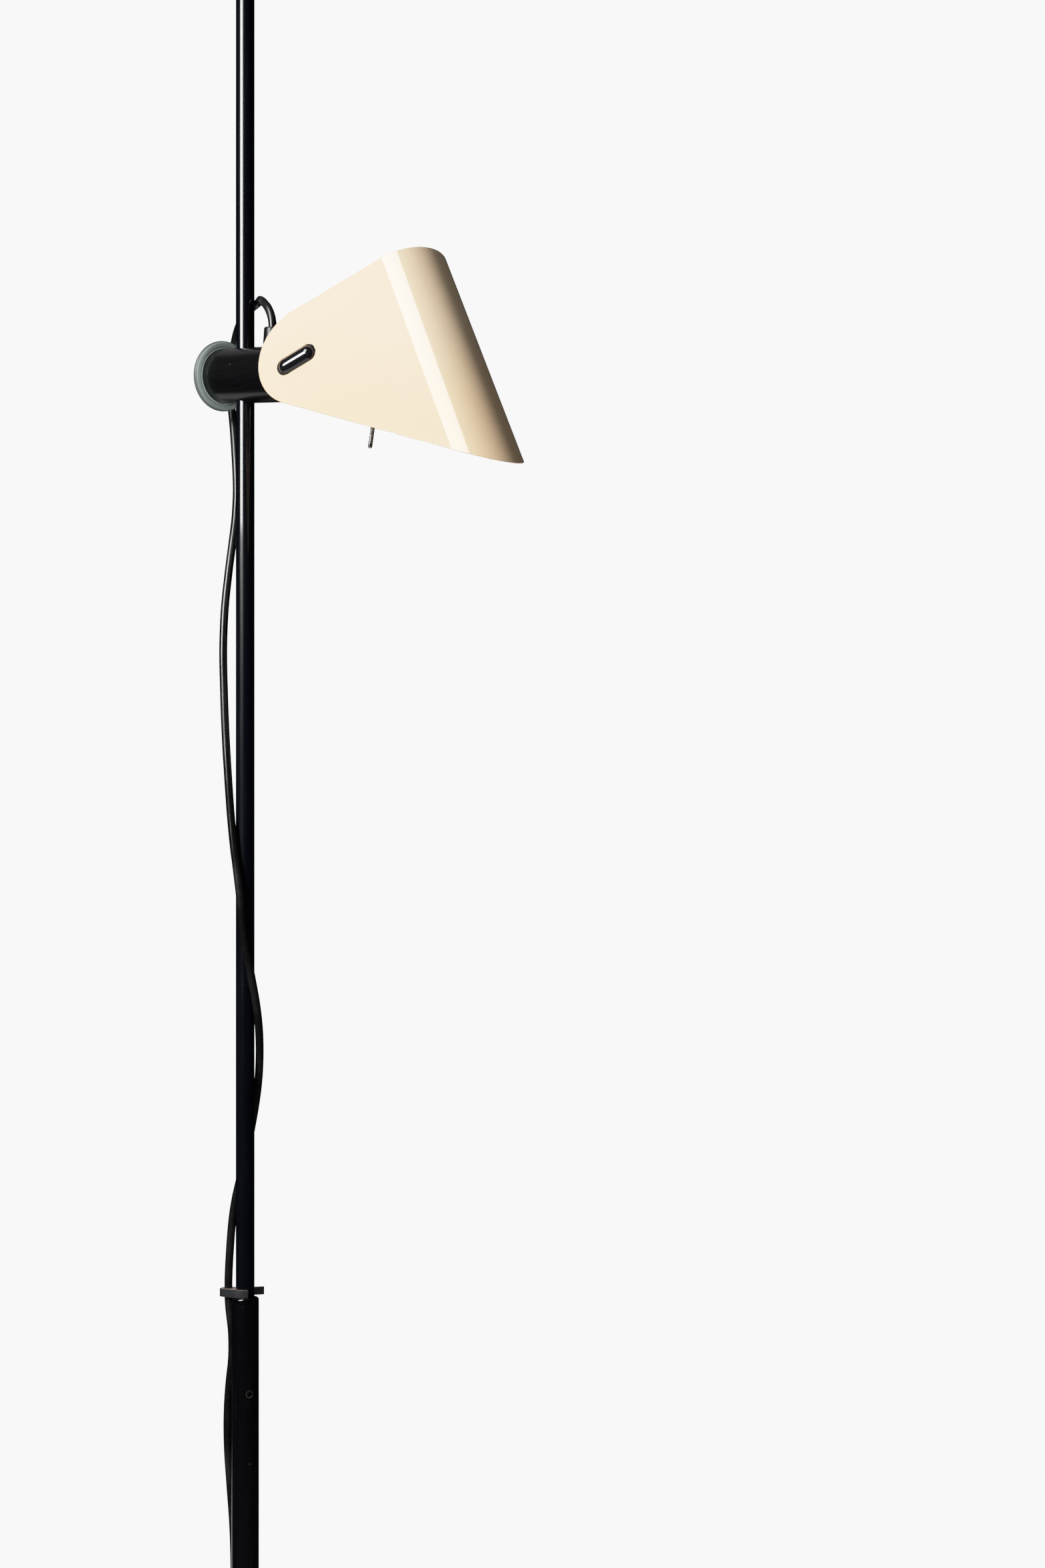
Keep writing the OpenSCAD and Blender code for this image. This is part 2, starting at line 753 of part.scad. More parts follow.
module clamp_disc() {
    r = disc_d / 2;
    boss_l = disc_gap + block_inset - 0.6;
    color(pale_grey)
        in_arm()
            about_arm()
                translate([0, 0, -disc_back])
                    difference() {
                        rotate_extrude()
                            polygon(concat([[0, 0]],
                                [for (t = [-90:15:0]) [r - disc_round * (1 - cos(t)), disc_round * (1 + sin(t))]],
                                [for (t = [0:15:90]) [r - disc_round * (1 - cos(t)),
                                    disc_t - disc_round * (1 - sin(t))]],
                                [[0.42 * r, disc_t], [0.38 * r, disc_t + boss_l], [0, disc_t + boss_l]]));
                        translate([0, 0, -1])
                            cylinder(d = clamp_screw_d, h = disc_t + boss_l + 2);
                    }
}

module cord_gland() {
    top = arm_d / 2 + gland_h;
    color(black_rubber)
        in_arm()
            translate([gland_at, 0, 0])
                difference() {
                    union() {
                        difference() {
                            translate([0, 0, arm_d / 2 - 3])
                                cylinder(d = gland_d, h = 3 + gland_h - gland_edge);
                            translate([-gland_at, 0, 0])
                                about_arm()
                                    cylinder(d = arm_d, h = 2 * arm_front);
                        }
                        translate([0, 0, top - gland_edge])
                            cylinder(d1 = gland_d, d2 = gland_d - 2 * gland_edge, h = gland_edge);
                        translate([0, 0, arm_bore_d / 2 - 6])
                            cylinder(d = gland_thread_d, h = 8);
                    }
                    cylinder(d = cord_d + 2 * slide_gap, h = top + 1);
                }
}

module gland_nut() {
    nut_t = 4;
    nut_r = gland_thread_d / 2 + 3;
    // Highest place inside the tube that a nut of this radius reaches
    seat = sqrt(pow(arm_bore_d / 2, 2) - pow(nut_r, 2));
    color(nylon)
        in_arm()
            translate([gland_at, 0, seat - nut_t])
                difference() {
                    cylinder(r = nut_r, h = nut_t, $fn = 6);
                    translate([0, 0, -1])
                        cylinder(d = gland_thread_d, h = nut_t + 2);
                }
}

module inner_leads() {
    bar_top = bar_d / 2;
    color(black_rubber)
        in_arm()
            for (side = [-1, 1]) {
                path = [[gland_at, side * 1.5, 15.5], [gland_at + 4, side * 1.5, 12.5],
                    [gland_at + 22, side * 1.5, 9.6], [110, side * 1.5, 8.6], [160, side * 1.6, bar_top + 4.5],
                    [pivot_at, side * 2.4, bar_top + 5], [pivot_at + 6, side * 4.4, 7.8],
                    [holder_back, side * 5, 7]];
                swept_tube(path, 2.2, 6, 0, len(path) - 1, [0, 1, 0]);
            }
}

// Bush in the side of the arm tube; side is 1 for left, -1 for right
module bar_bush(side) {
    flange_out = 2.5;
    color(nylon)
        in_arm()
            translate([pivot_at, 0, 0])
                mirror([0, side > 0 ? 0 : 1, 0])
                    rotate([-90, 0, 0])
                        difference() {
                            union() {
                                translate([0, 0, arm_bore_d / 2 - 3])
                                    cylinder(d = bar_bush_d, h = 4);
                                difference() {
                                    translate([0, 0, arm_d / 2 - 2])
                                        cylinder(d = bar_bush_d + 4, h = 2 + flange_out);
                                    translate([-arm_front, 0, 0])
                                        rotate([0, 90, 0])
                                            cylinder(d = arm_d, h = 2 * arm_front);
                                }
                            }
                            cylinder(d = bar_d + 2 * slide_gap, h = arm_d);
                        }
}

module bar_bush_left() {
    bar_bush(1);
}

module bar_bush_right() {
    bar_bush(-1);
}

key_screw_d = 4;
// Half length of the crossbar, up to the back of a key's flange
bar_half = half_width - sheet_t / cos(plate_lean) - key_flange_t / cos(plate_lean) - 4;

module crossbar() {
    collar_at = arm_d / 2 + 2.5 + still_gap;
    color(steel)
        in_arm()
            translate([pivot_at, -bar_half, 0])
                rotate([-90, 0, 0]) {
                    cylinder(d = bar_d, h = 2 * bar_half);
                    for (z = [bar_half - collar_at - 3, bar_half + collar_at])
                        translate([0, 0, z])
                            cylinder(d = bar_d + 5, h = 3);
                }
}

// Puts a shape on the outside of a plate: X to the fold along the slot, Z out of the plate
module on_plate(side) {
    in_arm()
        translate([pivot_at, 0, 0])
            mirror([0, side > 0 ? 0 : 1, 0])
                rotate([0, -fold_turn, 0])
                    translate([0, half_width, 0])
                        rotate([0, 0, -plate_lean])
                            rotate([-90, 0, 0])
                                children();
}

module slot_key(side) {
    sink = key_w / 2 - key_proud;
    flange_back = -sheet_t - key_flange_t;
    color(key_black)
        difference() {
            union() {
                on_plate(side) {
                    intersection() {
                        translate([0, 0, -sink]) {
                            translate([-(key_l - key_w) / 2, 0, 0])
                                about_arm()
                                    cylinder(d = key_w, h = key_l - key_w);
                            for (end = [-1, 1])
                                translate([end * (key_l - key_w) / 2, 0, 0])
                                    sphere(d = key_w);
                        }
                        translate([-key_l, -key_l, -sink])
                            cube([2 * key_l, 2 * key_l, key_w]);
                    }
                    translate([0, 0, flange_back])
                        capsule_prism(key_l, key_w, -sink - flange_back);
                    translate([0, 0, flange_back])
                        capsule_prism(key_l + 2 * key_rim, key_w + 2 * key_rim, key_flange_t);
                }
                difference() {
                    in_arm()
                        translate([pivot_at, side * (bar_half - key_hub_grip), 0])
                            rotate([side > 0 ? -90 : 90, 0, 0])
                                cylinder(d = key_hub_d, h = key_hub_grip + 12);
                    on_plate(side)
                        translate([-key_l - key_hub_d, -key_l - key_hub_d, flange_back + touch])
                            cube([2 * (key_l + key_hub_d), 2 * (key_l + key_hub_d), key_l + key_hub_d]);
                }
            }
            in_arm()
                translate([pivot_at, 0, 0])
                    rotate([side > 0 ? -90 : 90, 0, 0]) {
                        cylinder(d = bar_d, h = bar_half);
                        translate([0, 0, bar_half - key_hub_grip / 2])
                            rotate([side > 0 ? -90 : 90, 0, 0])
                                cylinder(d = key_screw_d, h = key_hub_d);
                    }
        }
}

module slot_key_left() {
    slot_key(1);
}

module slot_key_right() {
    slot_key(-1);
}

module key_screw(side) {
    color(steel)
        in_arm()
            translate([pivot_at, side * (bar_half - key_hub_grip / 2), 0])
                rotate([180, 0, 0])
                    translate([0, 0, bar_d / 2])
                        cylinder(d = key_screw_d, h = (key_hub_d - bar_d) / 2);
}

module key_screw_left() {
    key_screw(1);
}

module key_screw_right() {
    key_screw(-1);
}

// Section of the folded sheet: a round fold and two straight plates that lean outward
module fold_section() {
    translate([fold_centre, 0])
        intersection() {
            difference() {
                circle(r = fold_r, $fn = 96);
                circle(r = fold_r - sheet_t, $fn = 96);
            }
            polygon([[0, 0], 2 * fold_r * [cos(arc_half), sin(arc_half)], [2 * fold_r, 2 * fold_r * sin(arc_half)],
                [2 * fold_r, -2 * fold_r * sin(arc_half)], 2 * fold_r * [cos(arc_half), -sin(arc_half)]]);
        }
    for (side = [0, 1])
        mirror([0, side])
            translate(plate_start)
                rotate(180 - plate_lean)
                    square([plate_l, sheet_t]);
}

// Outline of the sheet from the side, in the tilt axis's frame
module sheet_outline() {
    top = [corner_x - corner_r * sin(top_edge_turn), corner_z + corner_r * cos(top_edge_turn)];
    low = [corner_x - corner_r * sin(bottom_edge_turn), corner_z - corner_r * cos(bottom_edge_turn)];
    far = outline_reach;
    translate([corner_x, corner_z])
        circle(r = corner_r, $fn = 96);
    polygon([[corner_x, corner_z], top, top + far * [cos(top_edge_turn), sin(top_edge_turn)],
        low + far * [cos(bottom_edge_turn), -sin(bottom_edge_turn)], low]);
}

module shade() {
    color(cream)
        difference() {
            in_arm()
                translate([pivot_at, 0, 0])
                    intersection() {
                        rotate([0, -fold_turn, 0])
                            translate([0, 0, -fold_l / 2])
                                linear_extrude(fold_l)
                                    fold_section();
                        rotate([90, 0, 0])
                            translate([0, 0, -2 * half_width])
                                linear_extrude(4 * half_width)
                                    sheet_outline();
                    }
            for (side = [-1, 1])
                on_plate(side)
                    translate([0, 0, -5])
                        capsule_prism(key_l + 2 * slot_end_gap, key_w + 2 * slot_side_gap, 10);
        }
}

module end_plug() {
    color(nylon)
        in_arm()
            about_arm()
                ring(arm_bore_d, holder_d, arm_front - 0.5 - end_plug_t, arm_front - 0.5);
}

module lampholder() {
    color(black_gloss)
        in_arm()
            about_arm()
                difference() {
                    union() {
                        translate([0, 0, holder_back])
                            cylinder(d = holder_d, h = holder_in);
                        translate([0, 0, arm_front])
                            cylinder(d = skirt_d, h = skirt_l);
                    }
                    translate([0, 0, contact_z])
                        cylinder(d = holder_bore_d, h = holder_front);
                }
}

module lamp_shell() {
    color(brass)
        in_arm()
            about_arm()
                ring(holder_bore_d, holder_bore_d - 2 * shell_wall, contact_z + 3, holder_front - 2);
}

module centre_contact() {
    color(brass)
        in_arm()
            about_arm()
                translate([0, 0, contact_z])
                    cylinder(d = 6, h = contact_t);
}

module bulb_cap() {
    color(steel)
        in_arm()
            about_arm() {
                translate([0, 0, cap_back])
                    cylinder(d1 = 5, d2 = 9, h = cap_tip);
                translate([0, 0, cap_back + cap_tip])
                    cylinder(d = cap_d, h = cap_l);
            }
}

module bulb_glass() {
    r = globe_d / 2;
    neck_r = cap_d / 2;
    meet = 132;
    color(glass)
        in_arm()
            about_arm()
                translate([0, 0, cap_front])
                    rotate_extrude()
                        polygon(concat([[0, 0], [neck_r, 0], [neck_r + 0.6, (globe_off - r) * 0.6]],
                            [for (t = [meet:-12:0]) [r * sin(t), globe_off + r * cos(t)]]));
}

module toggle_switch() {
    mouth = lever_ball_d + 0.2;
    color(black_gloss)
        in_arm()
            translate([toggle_at, 0, 0])
                difference() {
                    union() {
                        translate([-switch_l / 2, -switch_w / 2, switch_top - switch_h])
                            cube([switch_l, switch_w, switch_h]);
                        translate([0, 0, -arm_d / 2 - toggle_bushing_h])
                            cylinder(d = toggle_bushing_d, h = arm_d / 2 + toggle_bushing_h + switch_top - 2);
                    }
                    translate([0, 0, -arm_d / 2 - toggle_bushing_h - 1])
                        cylinder(d = mouth, h = toggle_bushing_h + 6);
                }
}

module toggle_nut() {
    color(steel)
        in_arm()
            translate([toggle_at, 0, -arm_d / 2 - 3])
                difference() {
                    cylinder(d = toggle_bushing_d + 5, h = 3, $fn = 6);
                    translate([0, 0, -1])
                        cylinder(d = toggle_bushing_d, h = 5);
                }
}

module toggle_lever() {
    color(black_gloss)
        in_arm()
            translate([toggle_at, 0, -arm_d / 2])
                rotate([0, 180 + lever_lean, 0]) {
                    sphere(d = lever_ball_d);
                    cylinder(d = lever_d, h = lever_reach - lever_d / 2);
                    translate([0, 0, lever_reach - lever_d / 2])
                        sphere(d = lever_d);
                }
}

module cord_top() {
    color(black_rubber)
        swept_tube(cord_path, cord_d, cord_sides, 0, top_end);
}

module cord_mid() {
    color(black_rubber)
        swept_tube(cord_path, cord_d, cord_sides, top_end, mid_end);
}

module cord_low() {
    color(black_rubber)
        swept_tube(cord_path, cord_d, cord_sides, mid_end, low_end);
}

module cord_floor() {
    color(black_rubber)
        swept_tube(cord_path, cord_d, cord_sides, low_end, len(cord_path) - 1);
}

module cord_coil() {
    color(black_rubber)
        swept_tube(coil_path, cord_d, 6, 0, len(coil_path) - 1, [0, 0, 1]);
}

module coil_tie() {
    inner = coil_inner_r - cord_d / 2 - 0.5;
    outer = coil_outer_r + cord_d / 2 + 0.5;
    high = coil_z + coil_pitch + cord_d / 2 + 0.3;
    color(black_rubber)
        translate([coil_at[0] - outer - tie_t, coil_at[1] - tie_w / 2, 0])
            difference() {
                cube([outer - inner + 2 * tie_t, tie_w, high + tie_t]);
                translate([tie_t, -1, tie_t])
                    cube([outer - inner, tie_w + 2, high - tie_t]);
            }
}

module plug_body() {
    neck_l = plug_neck_l;
    color(black_rubber)
        translate([plug_back_x, coil_end_y, plug_z])
            difference() {
                union() {
                    rotate([0, 90, 0])
                        cylinder(d1 = cord_d + 2.4, d2 = plug_size[2] - 1, h = neck_l);
                    translate([0, 0, -plug_size[2] / 2])
                        linear_extrude(plug_size[2])
                            polygon([[neck_l - 4, -6], [neck_l + 6, -plug_size[1] / 2],
                                [plug_size[0], -plug_size[1] / 2 + 3], [plug_size[0], plug_size[1] / 2 - 3],
                                [neck_l + 6, plug_size[1] / 2], [neck_l - 4, 6]]);
                }
                rotate([0, 90, 0])
                    translate([0, 0, -1])
                        cylinder(d = cord_d, h = cord_d + 1);
            }
}

module plug_pin(side) {
    color(steel)
        translate([plug_back_x + plug_size[0], coil_end_y + side * plug_pin_pitch / 2, plug_z])
            rotate([0, 90, 0])
                cylinder(d = plug_pin_d, h = plug_pin_l);
}

module plug_pin_left() {
    plug_pin(1);
}

module plug_pin_right() {
    plug_pin(-1);
}

floor_pad();
foot_plug();
lower_tube();
tube_bush();
cord_clip();
lock_screw();
upper_tube();
tube_guide();
ceiling_housing();
ceiling_cap();
ceiling_spring();
ceiling_plunger();
ceiling_pad();
pole_sleeve();
arm_tube();
pole_block();
clamp_nut();
clamp_saddle();
clamp_screw();
clamp_disc();
cord_gland();
gland_nut();
inner_leads();
bar_bush_left();
bar_bush_right();
crossbar();
slot_key_left();
slot_key_right();
key_screw_left();
key_screw_right();
shade();
end_plug();
lampholder();
lamp_shell();
centre_contact();
bulb_cap();
bulb_glass();
toggle_switch();
toggle_nut();
toggle_lever();
cord_top();
cord_mid();
cord_low();
cord_floor();
cord_coil();
coil_tie();
plug_body();
plug_pin_left();
plug_pin_right();
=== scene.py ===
"""Tension pole lamp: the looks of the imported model, with its finishes, light and camera."""

import logging
import math
from collections.abc import Callable, Sequence
from dataclasses import dataclass, field
from enum import Enum
from typing import Self

import bmesh
import bpy
from mathutils import Matrix, Vector


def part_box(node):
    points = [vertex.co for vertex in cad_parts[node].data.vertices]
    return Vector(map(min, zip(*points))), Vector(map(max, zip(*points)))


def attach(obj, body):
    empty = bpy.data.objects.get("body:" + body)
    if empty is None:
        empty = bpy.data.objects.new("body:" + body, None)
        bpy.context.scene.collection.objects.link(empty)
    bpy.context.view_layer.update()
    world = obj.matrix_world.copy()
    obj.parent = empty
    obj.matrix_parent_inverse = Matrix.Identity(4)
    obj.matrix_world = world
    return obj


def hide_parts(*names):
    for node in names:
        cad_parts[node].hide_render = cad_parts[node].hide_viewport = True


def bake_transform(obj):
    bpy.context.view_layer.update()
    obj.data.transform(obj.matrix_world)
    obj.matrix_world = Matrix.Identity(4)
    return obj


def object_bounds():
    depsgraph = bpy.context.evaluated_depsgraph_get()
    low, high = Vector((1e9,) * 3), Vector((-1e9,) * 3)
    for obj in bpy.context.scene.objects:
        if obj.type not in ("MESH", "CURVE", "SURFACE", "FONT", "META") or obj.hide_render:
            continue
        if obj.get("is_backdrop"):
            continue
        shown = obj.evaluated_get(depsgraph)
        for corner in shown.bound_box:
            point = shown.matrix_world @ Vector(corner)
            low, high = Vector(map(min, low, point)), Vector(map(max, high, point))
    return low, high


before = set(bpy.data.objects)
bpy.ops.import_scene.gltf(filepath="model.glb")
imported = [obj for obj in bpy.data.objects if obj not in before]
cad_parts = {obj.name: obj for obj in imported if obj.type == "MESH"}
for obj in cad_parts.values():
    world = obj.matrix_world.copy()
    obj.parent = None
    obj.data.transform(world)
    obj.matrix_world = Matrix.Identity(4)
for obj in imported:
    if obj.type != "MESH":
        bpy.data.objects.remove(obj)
CAD_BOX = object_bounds()

LOG = logging.getLogger("pole_lamp")

Colour = tuple[float, float, float]
Point = tuple[float, float, float]
Profile = list[tuple[float, float]]

MM = 0.001
UP: Point = (0.0, 0.0, 1.0)
AT_ORIGIN = Matrix.Identity(4)


class Side(Enum):
    """Side of the arm, as the sign of Y."""

    LEFT = 1
    RIGHT = -1


class Shows(Enum):
    """What a light does: light the surfaces, or show in their gloss."""

    LIGHT = (True, False)
    GLOSS = (False, True)


class Along(Enum):
    """Direction that a drawn or brushed finish follows."""

    X = (0.02, 1.0, 1.0)
    Y = (1.0, 0.02, 1.0)
    Z = (1.0, 1.0, 0.02)


def shifted(x: float, y: float, z: float) -> Matrix:
    """A move, given in millimetres."""
    return Matrix.Translation((x * MM, y * MM, z * MM))


def turned(degrees: float, axis: str, size: int = 4) -> Matrix:
    """A turn about an axis through the origin."""
    return Matrix.Rotation(math.radians(degrees), size, axis)


def arc(x: float, z: float, radius: float, start: float, end: float, steps: int) -> Profile:
    """Points along an arc.

    Args:
        x: Middle of the arc, across.
        z: Middle of the arc, up.
        radius: Its radius.
        start: Its first angle in degrees.
        end: Its last angle in degrees.
        steps: Steps between them.

    Returns:
        The points, with both ends.
    """
    angles = [math.radians(start + (end - start) * k / steps) for k in range(steps + 1)]
    return [(x + radius * math.cos(a), z + radius * math.sin(a)) for a in angles]


# Shader expressions


@dataclass(frozen=True)
class Sock:
    """One output of a shader tree; its operators add Math and Vector Math nodes."""

    tree: "ShaderTree"
    out: bpy.types.NodeSocket

    def _join(self, operation: str, a: "Sock | Point | float", b: "Sock | Point | float") -> "Sock":
        """Adds the node that works out one operator.

        Args:
            operation: ADD, SUBTRACT or MULTIPLY.
            a: Left side.
            b: Right side.

        Returns:
            The result's socket.
        """
        vectors = [isinstance(side, tuple) or isinstance(side, Sock) and side.out.type == "VECTOR" for side in (a, b)]
        return self.tree.node("VectorMath" if any(vectors) else "Math", {"operation": operation}, {0: a, 1: b})

    def __add__(self, other: "Sock | float") -> "Sock":
        """self + other."""
        return self._join("ADD", self, other)

    def __radd__(self, other: float) -> "Sock":
        """other + self."""
        return self._join("ADD", other, self)

    def __sub__(self, other: "Sock | Point | float") -> "Sock":
        """self - other."""
        return self._join("SUBTRACT", self, other)

    def __mul__(self, other: "Sock | Point | float") -> "Sock":
        """self * other."""
        return self._join("MULTIPLY", self, other)

    def step(self, low: float, high: float) -> "Sock":
        """Rises smoothly from 0 at low to 1 at high, which may lie under low."""
        return self.tree.node("MapRange", {"interpolation_type": "SMOOTHSTEP"}, {0: self, 1: low, 2: high})

    def sine(self) -> "Sock":
        """Sine of a value."""
        return self.tree.node("Math", {"operation": "SINE"}, {0: self})

    def reach(self) -> "Sock":
        """Length of a vector."""
        return self.tree.node("VectorMath", {"operation": "LENGTH"}, {0: self}, "Value")

    def along(self, axis: Point) -> "Sock":
        """Part of a vector along a unit vector."""
        return self.tree.node("VectorMath", {"operation": "DOT_PRODUCT"}, {0: self, 1: axis}, "Value")


class ShaderTree:
    """A material's nodes, round one Principled shader."""

    def __init__(self, name: str) -> None:
        """Makes an empty material of that name."""
        self.material = bpy.data.materials.new(name)
        self.material.use_nodes = True
        self.tree = self.material.node_tree
        self.shader = next(n for n in self.tree.nodes if n.type == "BSDF_PRINCIPLED")
        self.place = self.node("TexCoord", output="Object")

    def node(self, kind: str, settings: dict | None = None, sockets: dict | None = None,
             output: int | str = 0) -> Sock:
        """Adds a node.

        Args:
            kind: Node's type, without ShaderNode before it.
            settings: Properties, set first.
            sockets: Values or links by input name or number.
            output: Name or number of the output that is used.

        Returns:
            That output.
        """
        made = self.tree.nodes.new("ShaderNode" + kind)
        for name, value in (settings or {}).items():
            setattr(made, name, value)
        for name, value in (sockets or {}).items():
            self.feed(made.inputs[name], value)
        return Sock(self, made.outputs[output])

    def feed(self, socket: bpy.types.NodeSocket, value: "Sock | float | Sequence[float]") -> None:
        """Links an output to a socket, or sets its value.

        Args:
            socket: Input.
            value: Output or constant.
        """
        if isinstance(value, Sock):
            self.tree.links.new(value.out, socket)
        else:
            socket.default_value = (*value, 1.0) if socket.type == "RGBA" else value

    def noise(self, scale: float, detail: float = 2.0, rough: float = 0.5, at: Sock | None = None) -> Sock:
        """Cloudy noise from 0 to 1.

        Args:
            scale: Features per metre.
            detail: Octaves.
            rough: Weight of the finer octaves.
            at: Coordinates, or the piece's own.

        Returns:
            The noise's value.
        """
        sockets = {"Vector": at or self.place, "Scale": scale, "Detail": detail, "Roughness": rough}
        return self.node("TexNoise", None, sockets)

    def cells(self, scale: float) -> Sock:
        """Distance to the nearest of many scattered points, in cells."""
        return self.node("TexVoronoi", None, {"Vector": self.place, "Scale": scale}, "Distance")

    def specks(self, scale: float, size: float, spread: float, patches: float, start: float) -> Sock:
        """Scattered specks that lie in patches.

        Args:
            scale: Specks per metre.
            size: Distance from a speck's middle where it ends, in cells.
            spread: Distance where it starts to end.
            patches: Patches per metre.
            start: Noise at which a patch starts.

        Returns:
            1 in a speck.
        """
        return self.cells(scale).step(size, spread) * self.noise(patches).step(start, 0.7)

    def stretched(self, scale: Point) -> Sock:
        """The piece's coordinates, stretched."""
        return self.place * scale

    def layers(self, colour: Colour, *over: "tuple[Sock, Colour]") -> "Sock | Colour":
        """Lays colours over one another.

        Args:
            colour: Lowest colour.
            *over: Cover and colour of each layer.

        Returns:
            The mixed colour.
        """
        for cover, upper in over:
            colour = self.node("Mix", {"data_type": "RGBA"}, {0: cover, 6: colour, 7: upper}, 2)
        return colour

    def _set(self, **values: "Sock | float | Sequence[float]") -> None:
        """Feeds inputs of the shader, whose names are given with _ for a space."""
        for name, value in values.items():
            self.feed(self.shader.inputs[name.replace("_", " ")], value)

    def surface(self, colour: "Sock | Colour", roughness: "Sock | float", metallic: float = 0.0) -> None:
        """Sets the surface's colour, roughness and metal."""
        self._set(Base_Color=colour, Roughness=roughness, Metallic=metallic)

    def coat(self, weight: float, roughness: float, under: float = 0.5) -> None:
        """Puts a clear coat on the surface, whose own gloss is under, 0.5 for plain plastic."""
        self._set(Specular_IOR_Level=under, Coat_Weight=weight, Coat_Roughness=roughness)

    def relief(self, height: Sock, depth: float, strength: float) -> None:
        """Bumps the surface.

        Args:
            height: Height, 0 to 1.
            depth: Depth of the relief in millimetres.
            strength: Weight of the bump.
        """
        self._set(Normal=self.node("Bump", None, {"Strength": strength, "Distance": depth * MM, "Height": height}))


# Finishes


@dataclass(frozen=True)
class Finish:
    """A surface finish that is made once and shared."""

    name: str
    colour: Colour
    roughness: float

    def material(self) -> bpy.types.Material:
        """The finish's material, made at its first use."""
        found = bpy.data.materials.get(self.name)
        if found is None:
            tree = ShaderTree(self.name)
            self.paint(tree)
            found = tree.material
        return found

    def paint(self, tree: ShaderTree) -> None:
        """Builds the finish's nodes in a new material."""
        raise NotImplementedError


@dataclass(frozen=True)
class TubeLacquer(Finish):
    """Black stove enamel on tube, with a blue tint, fine peel, rubbed streaks and dust."""

    tint: Colour
    streak: Point = (1.0, 1.0, 0.03)
    coat: float = 0.75

    def paint(self, tree: ShaderTree) -> None:
        """Enamel with streaks along the tube and a few pale specks."""
        cloud = tree.noise(7.0, 3.0)
        rubbed = tree.noise(420.0, 3.0, 0.6, tree.stretched(self.streak)).step(0.5, 0.78)
        speck = tree.specks(85.0, 0.06, 0.03, 14.0, 0.52)
        base = tree.layers(
            self.colour, (cloud, self.tint), (rubbed * 0.05, (0.05, 0.055, 0.065)), (speck * 0.5, (0.22, 0.22, 0.22))
        )
        tree.surface(base, self.roughness + cloud * 0.04 + rubbed * 0.04 + speck * 0.2)
        tree.coat(self.coat, 0.05, 0.3)
        tree.relief(tree.noise(520.0, 2.0), 0.02, 0.04)


@dataclass(frozen=True)
class SheetEnamel(Finish):
    """Cream stove enamel on the folded sheet, with age clouds, painted warm light on its lower part and scuffs at the
    tip.
    """

    warm_cloud_and_painted_light: Colour
    tip: Point
    tip_reach: float

    def paint(self, tree: ShaderTree) -> None:
        """Enamel with faint clouds, painted warm light low down, a fine peel and brown scuffs near the tip."""
        cloud = tree.noise(11.0, 3.0).step(0.3, 0.75)
        mottle = tree.noise(95.0, 3.0, 0.6).step(0.35, 0.75)
        # Painted light: under about 1.7 m the sheet blends towards the warm tint, which stands for warm light falling
        # on its lower part.
        low = tree.place.along(UP).step(1.71, 1.6)
        near = (tree.place - self.tip).reach().step(self.tip_reach, self.tip_reach * 0.2)
        chips = near * tree.noise(210.0, 4.0, 0.7, tree.stretched((1.0, 1.0, 3.0))).step(0.66, 0.72)
        base = tree.layers(
            self.colour, (cloud * 0.2 + low * 0.75, self.warm_cloud_and_painted_light), (mottle * 0.07, (0.66, 0.55, 0.38)),
            (chips * 0.75, (0.16, 0.09, 0.045)),
        )
        tree.surface(base, self.roughness + mottle * 0.04 + chips * 0.3)
        tree.coat(0.9, 0.045, 0.08)
        tree.relief(tree.noise(1400.0, 2.0) * 0.3 + tree.noise(60.0) * 0.7, 0.04, 0.1)


@dataclass(frozen=True)
class CastKnob(Finish):
    """Pale grey moulded knob with faint turning rings about the arm's axis and painted shade on its rim."""

    axis: Point
    centre: Point
    rim_r: float

    def paint(self, tree: ShaderTree) -> None:
        """Matt grey-green plastic, a little darker in the rings, with painted shade at the rim."""
        inward = tree.place - self.centre
        out = (inward - inward.along(self.axis) * self.axis).reach()
        rings = (out * 9000.0).sine() * 0.5 + 0.5
        cloud = tree.noise(60.0, 4.0, 0.6)
        base = tree.layers(
            self.colour, (cloud.step(0.3, 0.8) * 0.5, (0.55, 0.65, 0.62)), (rings * 0.06, (0.2, 0.22, 0.22)),
            # Painted shade: the outer 2 mm of the disc are blended almost to black.
            (out.step(self.rim_r - 0.002, self.rim_r - 0.0005) * 0.92, (0.07, 0.075, 0.075)),
        )
        tree.surface(base, self.roughness + cloud * 0.1)
        tree.relief(rings * 0.5 + tree.noise(900.0) * 0.5, 0.05, 0.2)


@dataclass(frozen=True)
class GlossMoulding(Finish):
    """Glossy moulded black plastic with soft flow marks."""

    def paint(self, tree: ShaderTree) -> None:
        """Black plastic with a clear gloss and small dust marks."""
        flow = tree.noise(120.0, 2.0)
        dust = tree.specks(420.0, 0.08, 0.04, 70.0, 0.55)
        base = tree.layers(self.colour, (flow, (0.012, 0.012, 0.015)), (dust * 0.4, (0.12, 0.12, 0.12)))
        tree.surface(base, self.roughness + flow * 0.05 + dust * 0.3)
        tree.coat(0.6, 0.04)
        tree.relief(flow, 0.05, 0.05)


@dataclass(frozen=True)
class MattRubber(Finish):
    """Black rubber with a powdery bloom, a fine grain and a painted highlight on its upper faces."""

    bloom: Colour = (0.055, 0.055, 0.06)
    top_highlight: float = 0.25

    def paint(self, tree: ShaderTree) -> None:
        """Dull rubber, greyer where it is dusty, with a painted highlight in pale brown on faces that look up."""
        dusty = tree.noise(55.0, 4.0, 0.65).step(0.4, 0.75)
        # Painted highlight: faces that look up blend towards pale brown, standing for light falling on their tops.
        top = tree.node("NewGeometry", output="Normal").along(UP).step(0.5, 0.95)
        base = tree.layers(self.colour, (dusty * 0.6, self.bloom), (top * self.top_highlight, (0.34, 0.25, 0.22)))
        tree.surface(base, self.roughness + dusty * 0.12)
        tree.relief(tree.noise(2600.0, 2.0) + tree.noise(300.0) * 0.8, 0.1, 0.35)


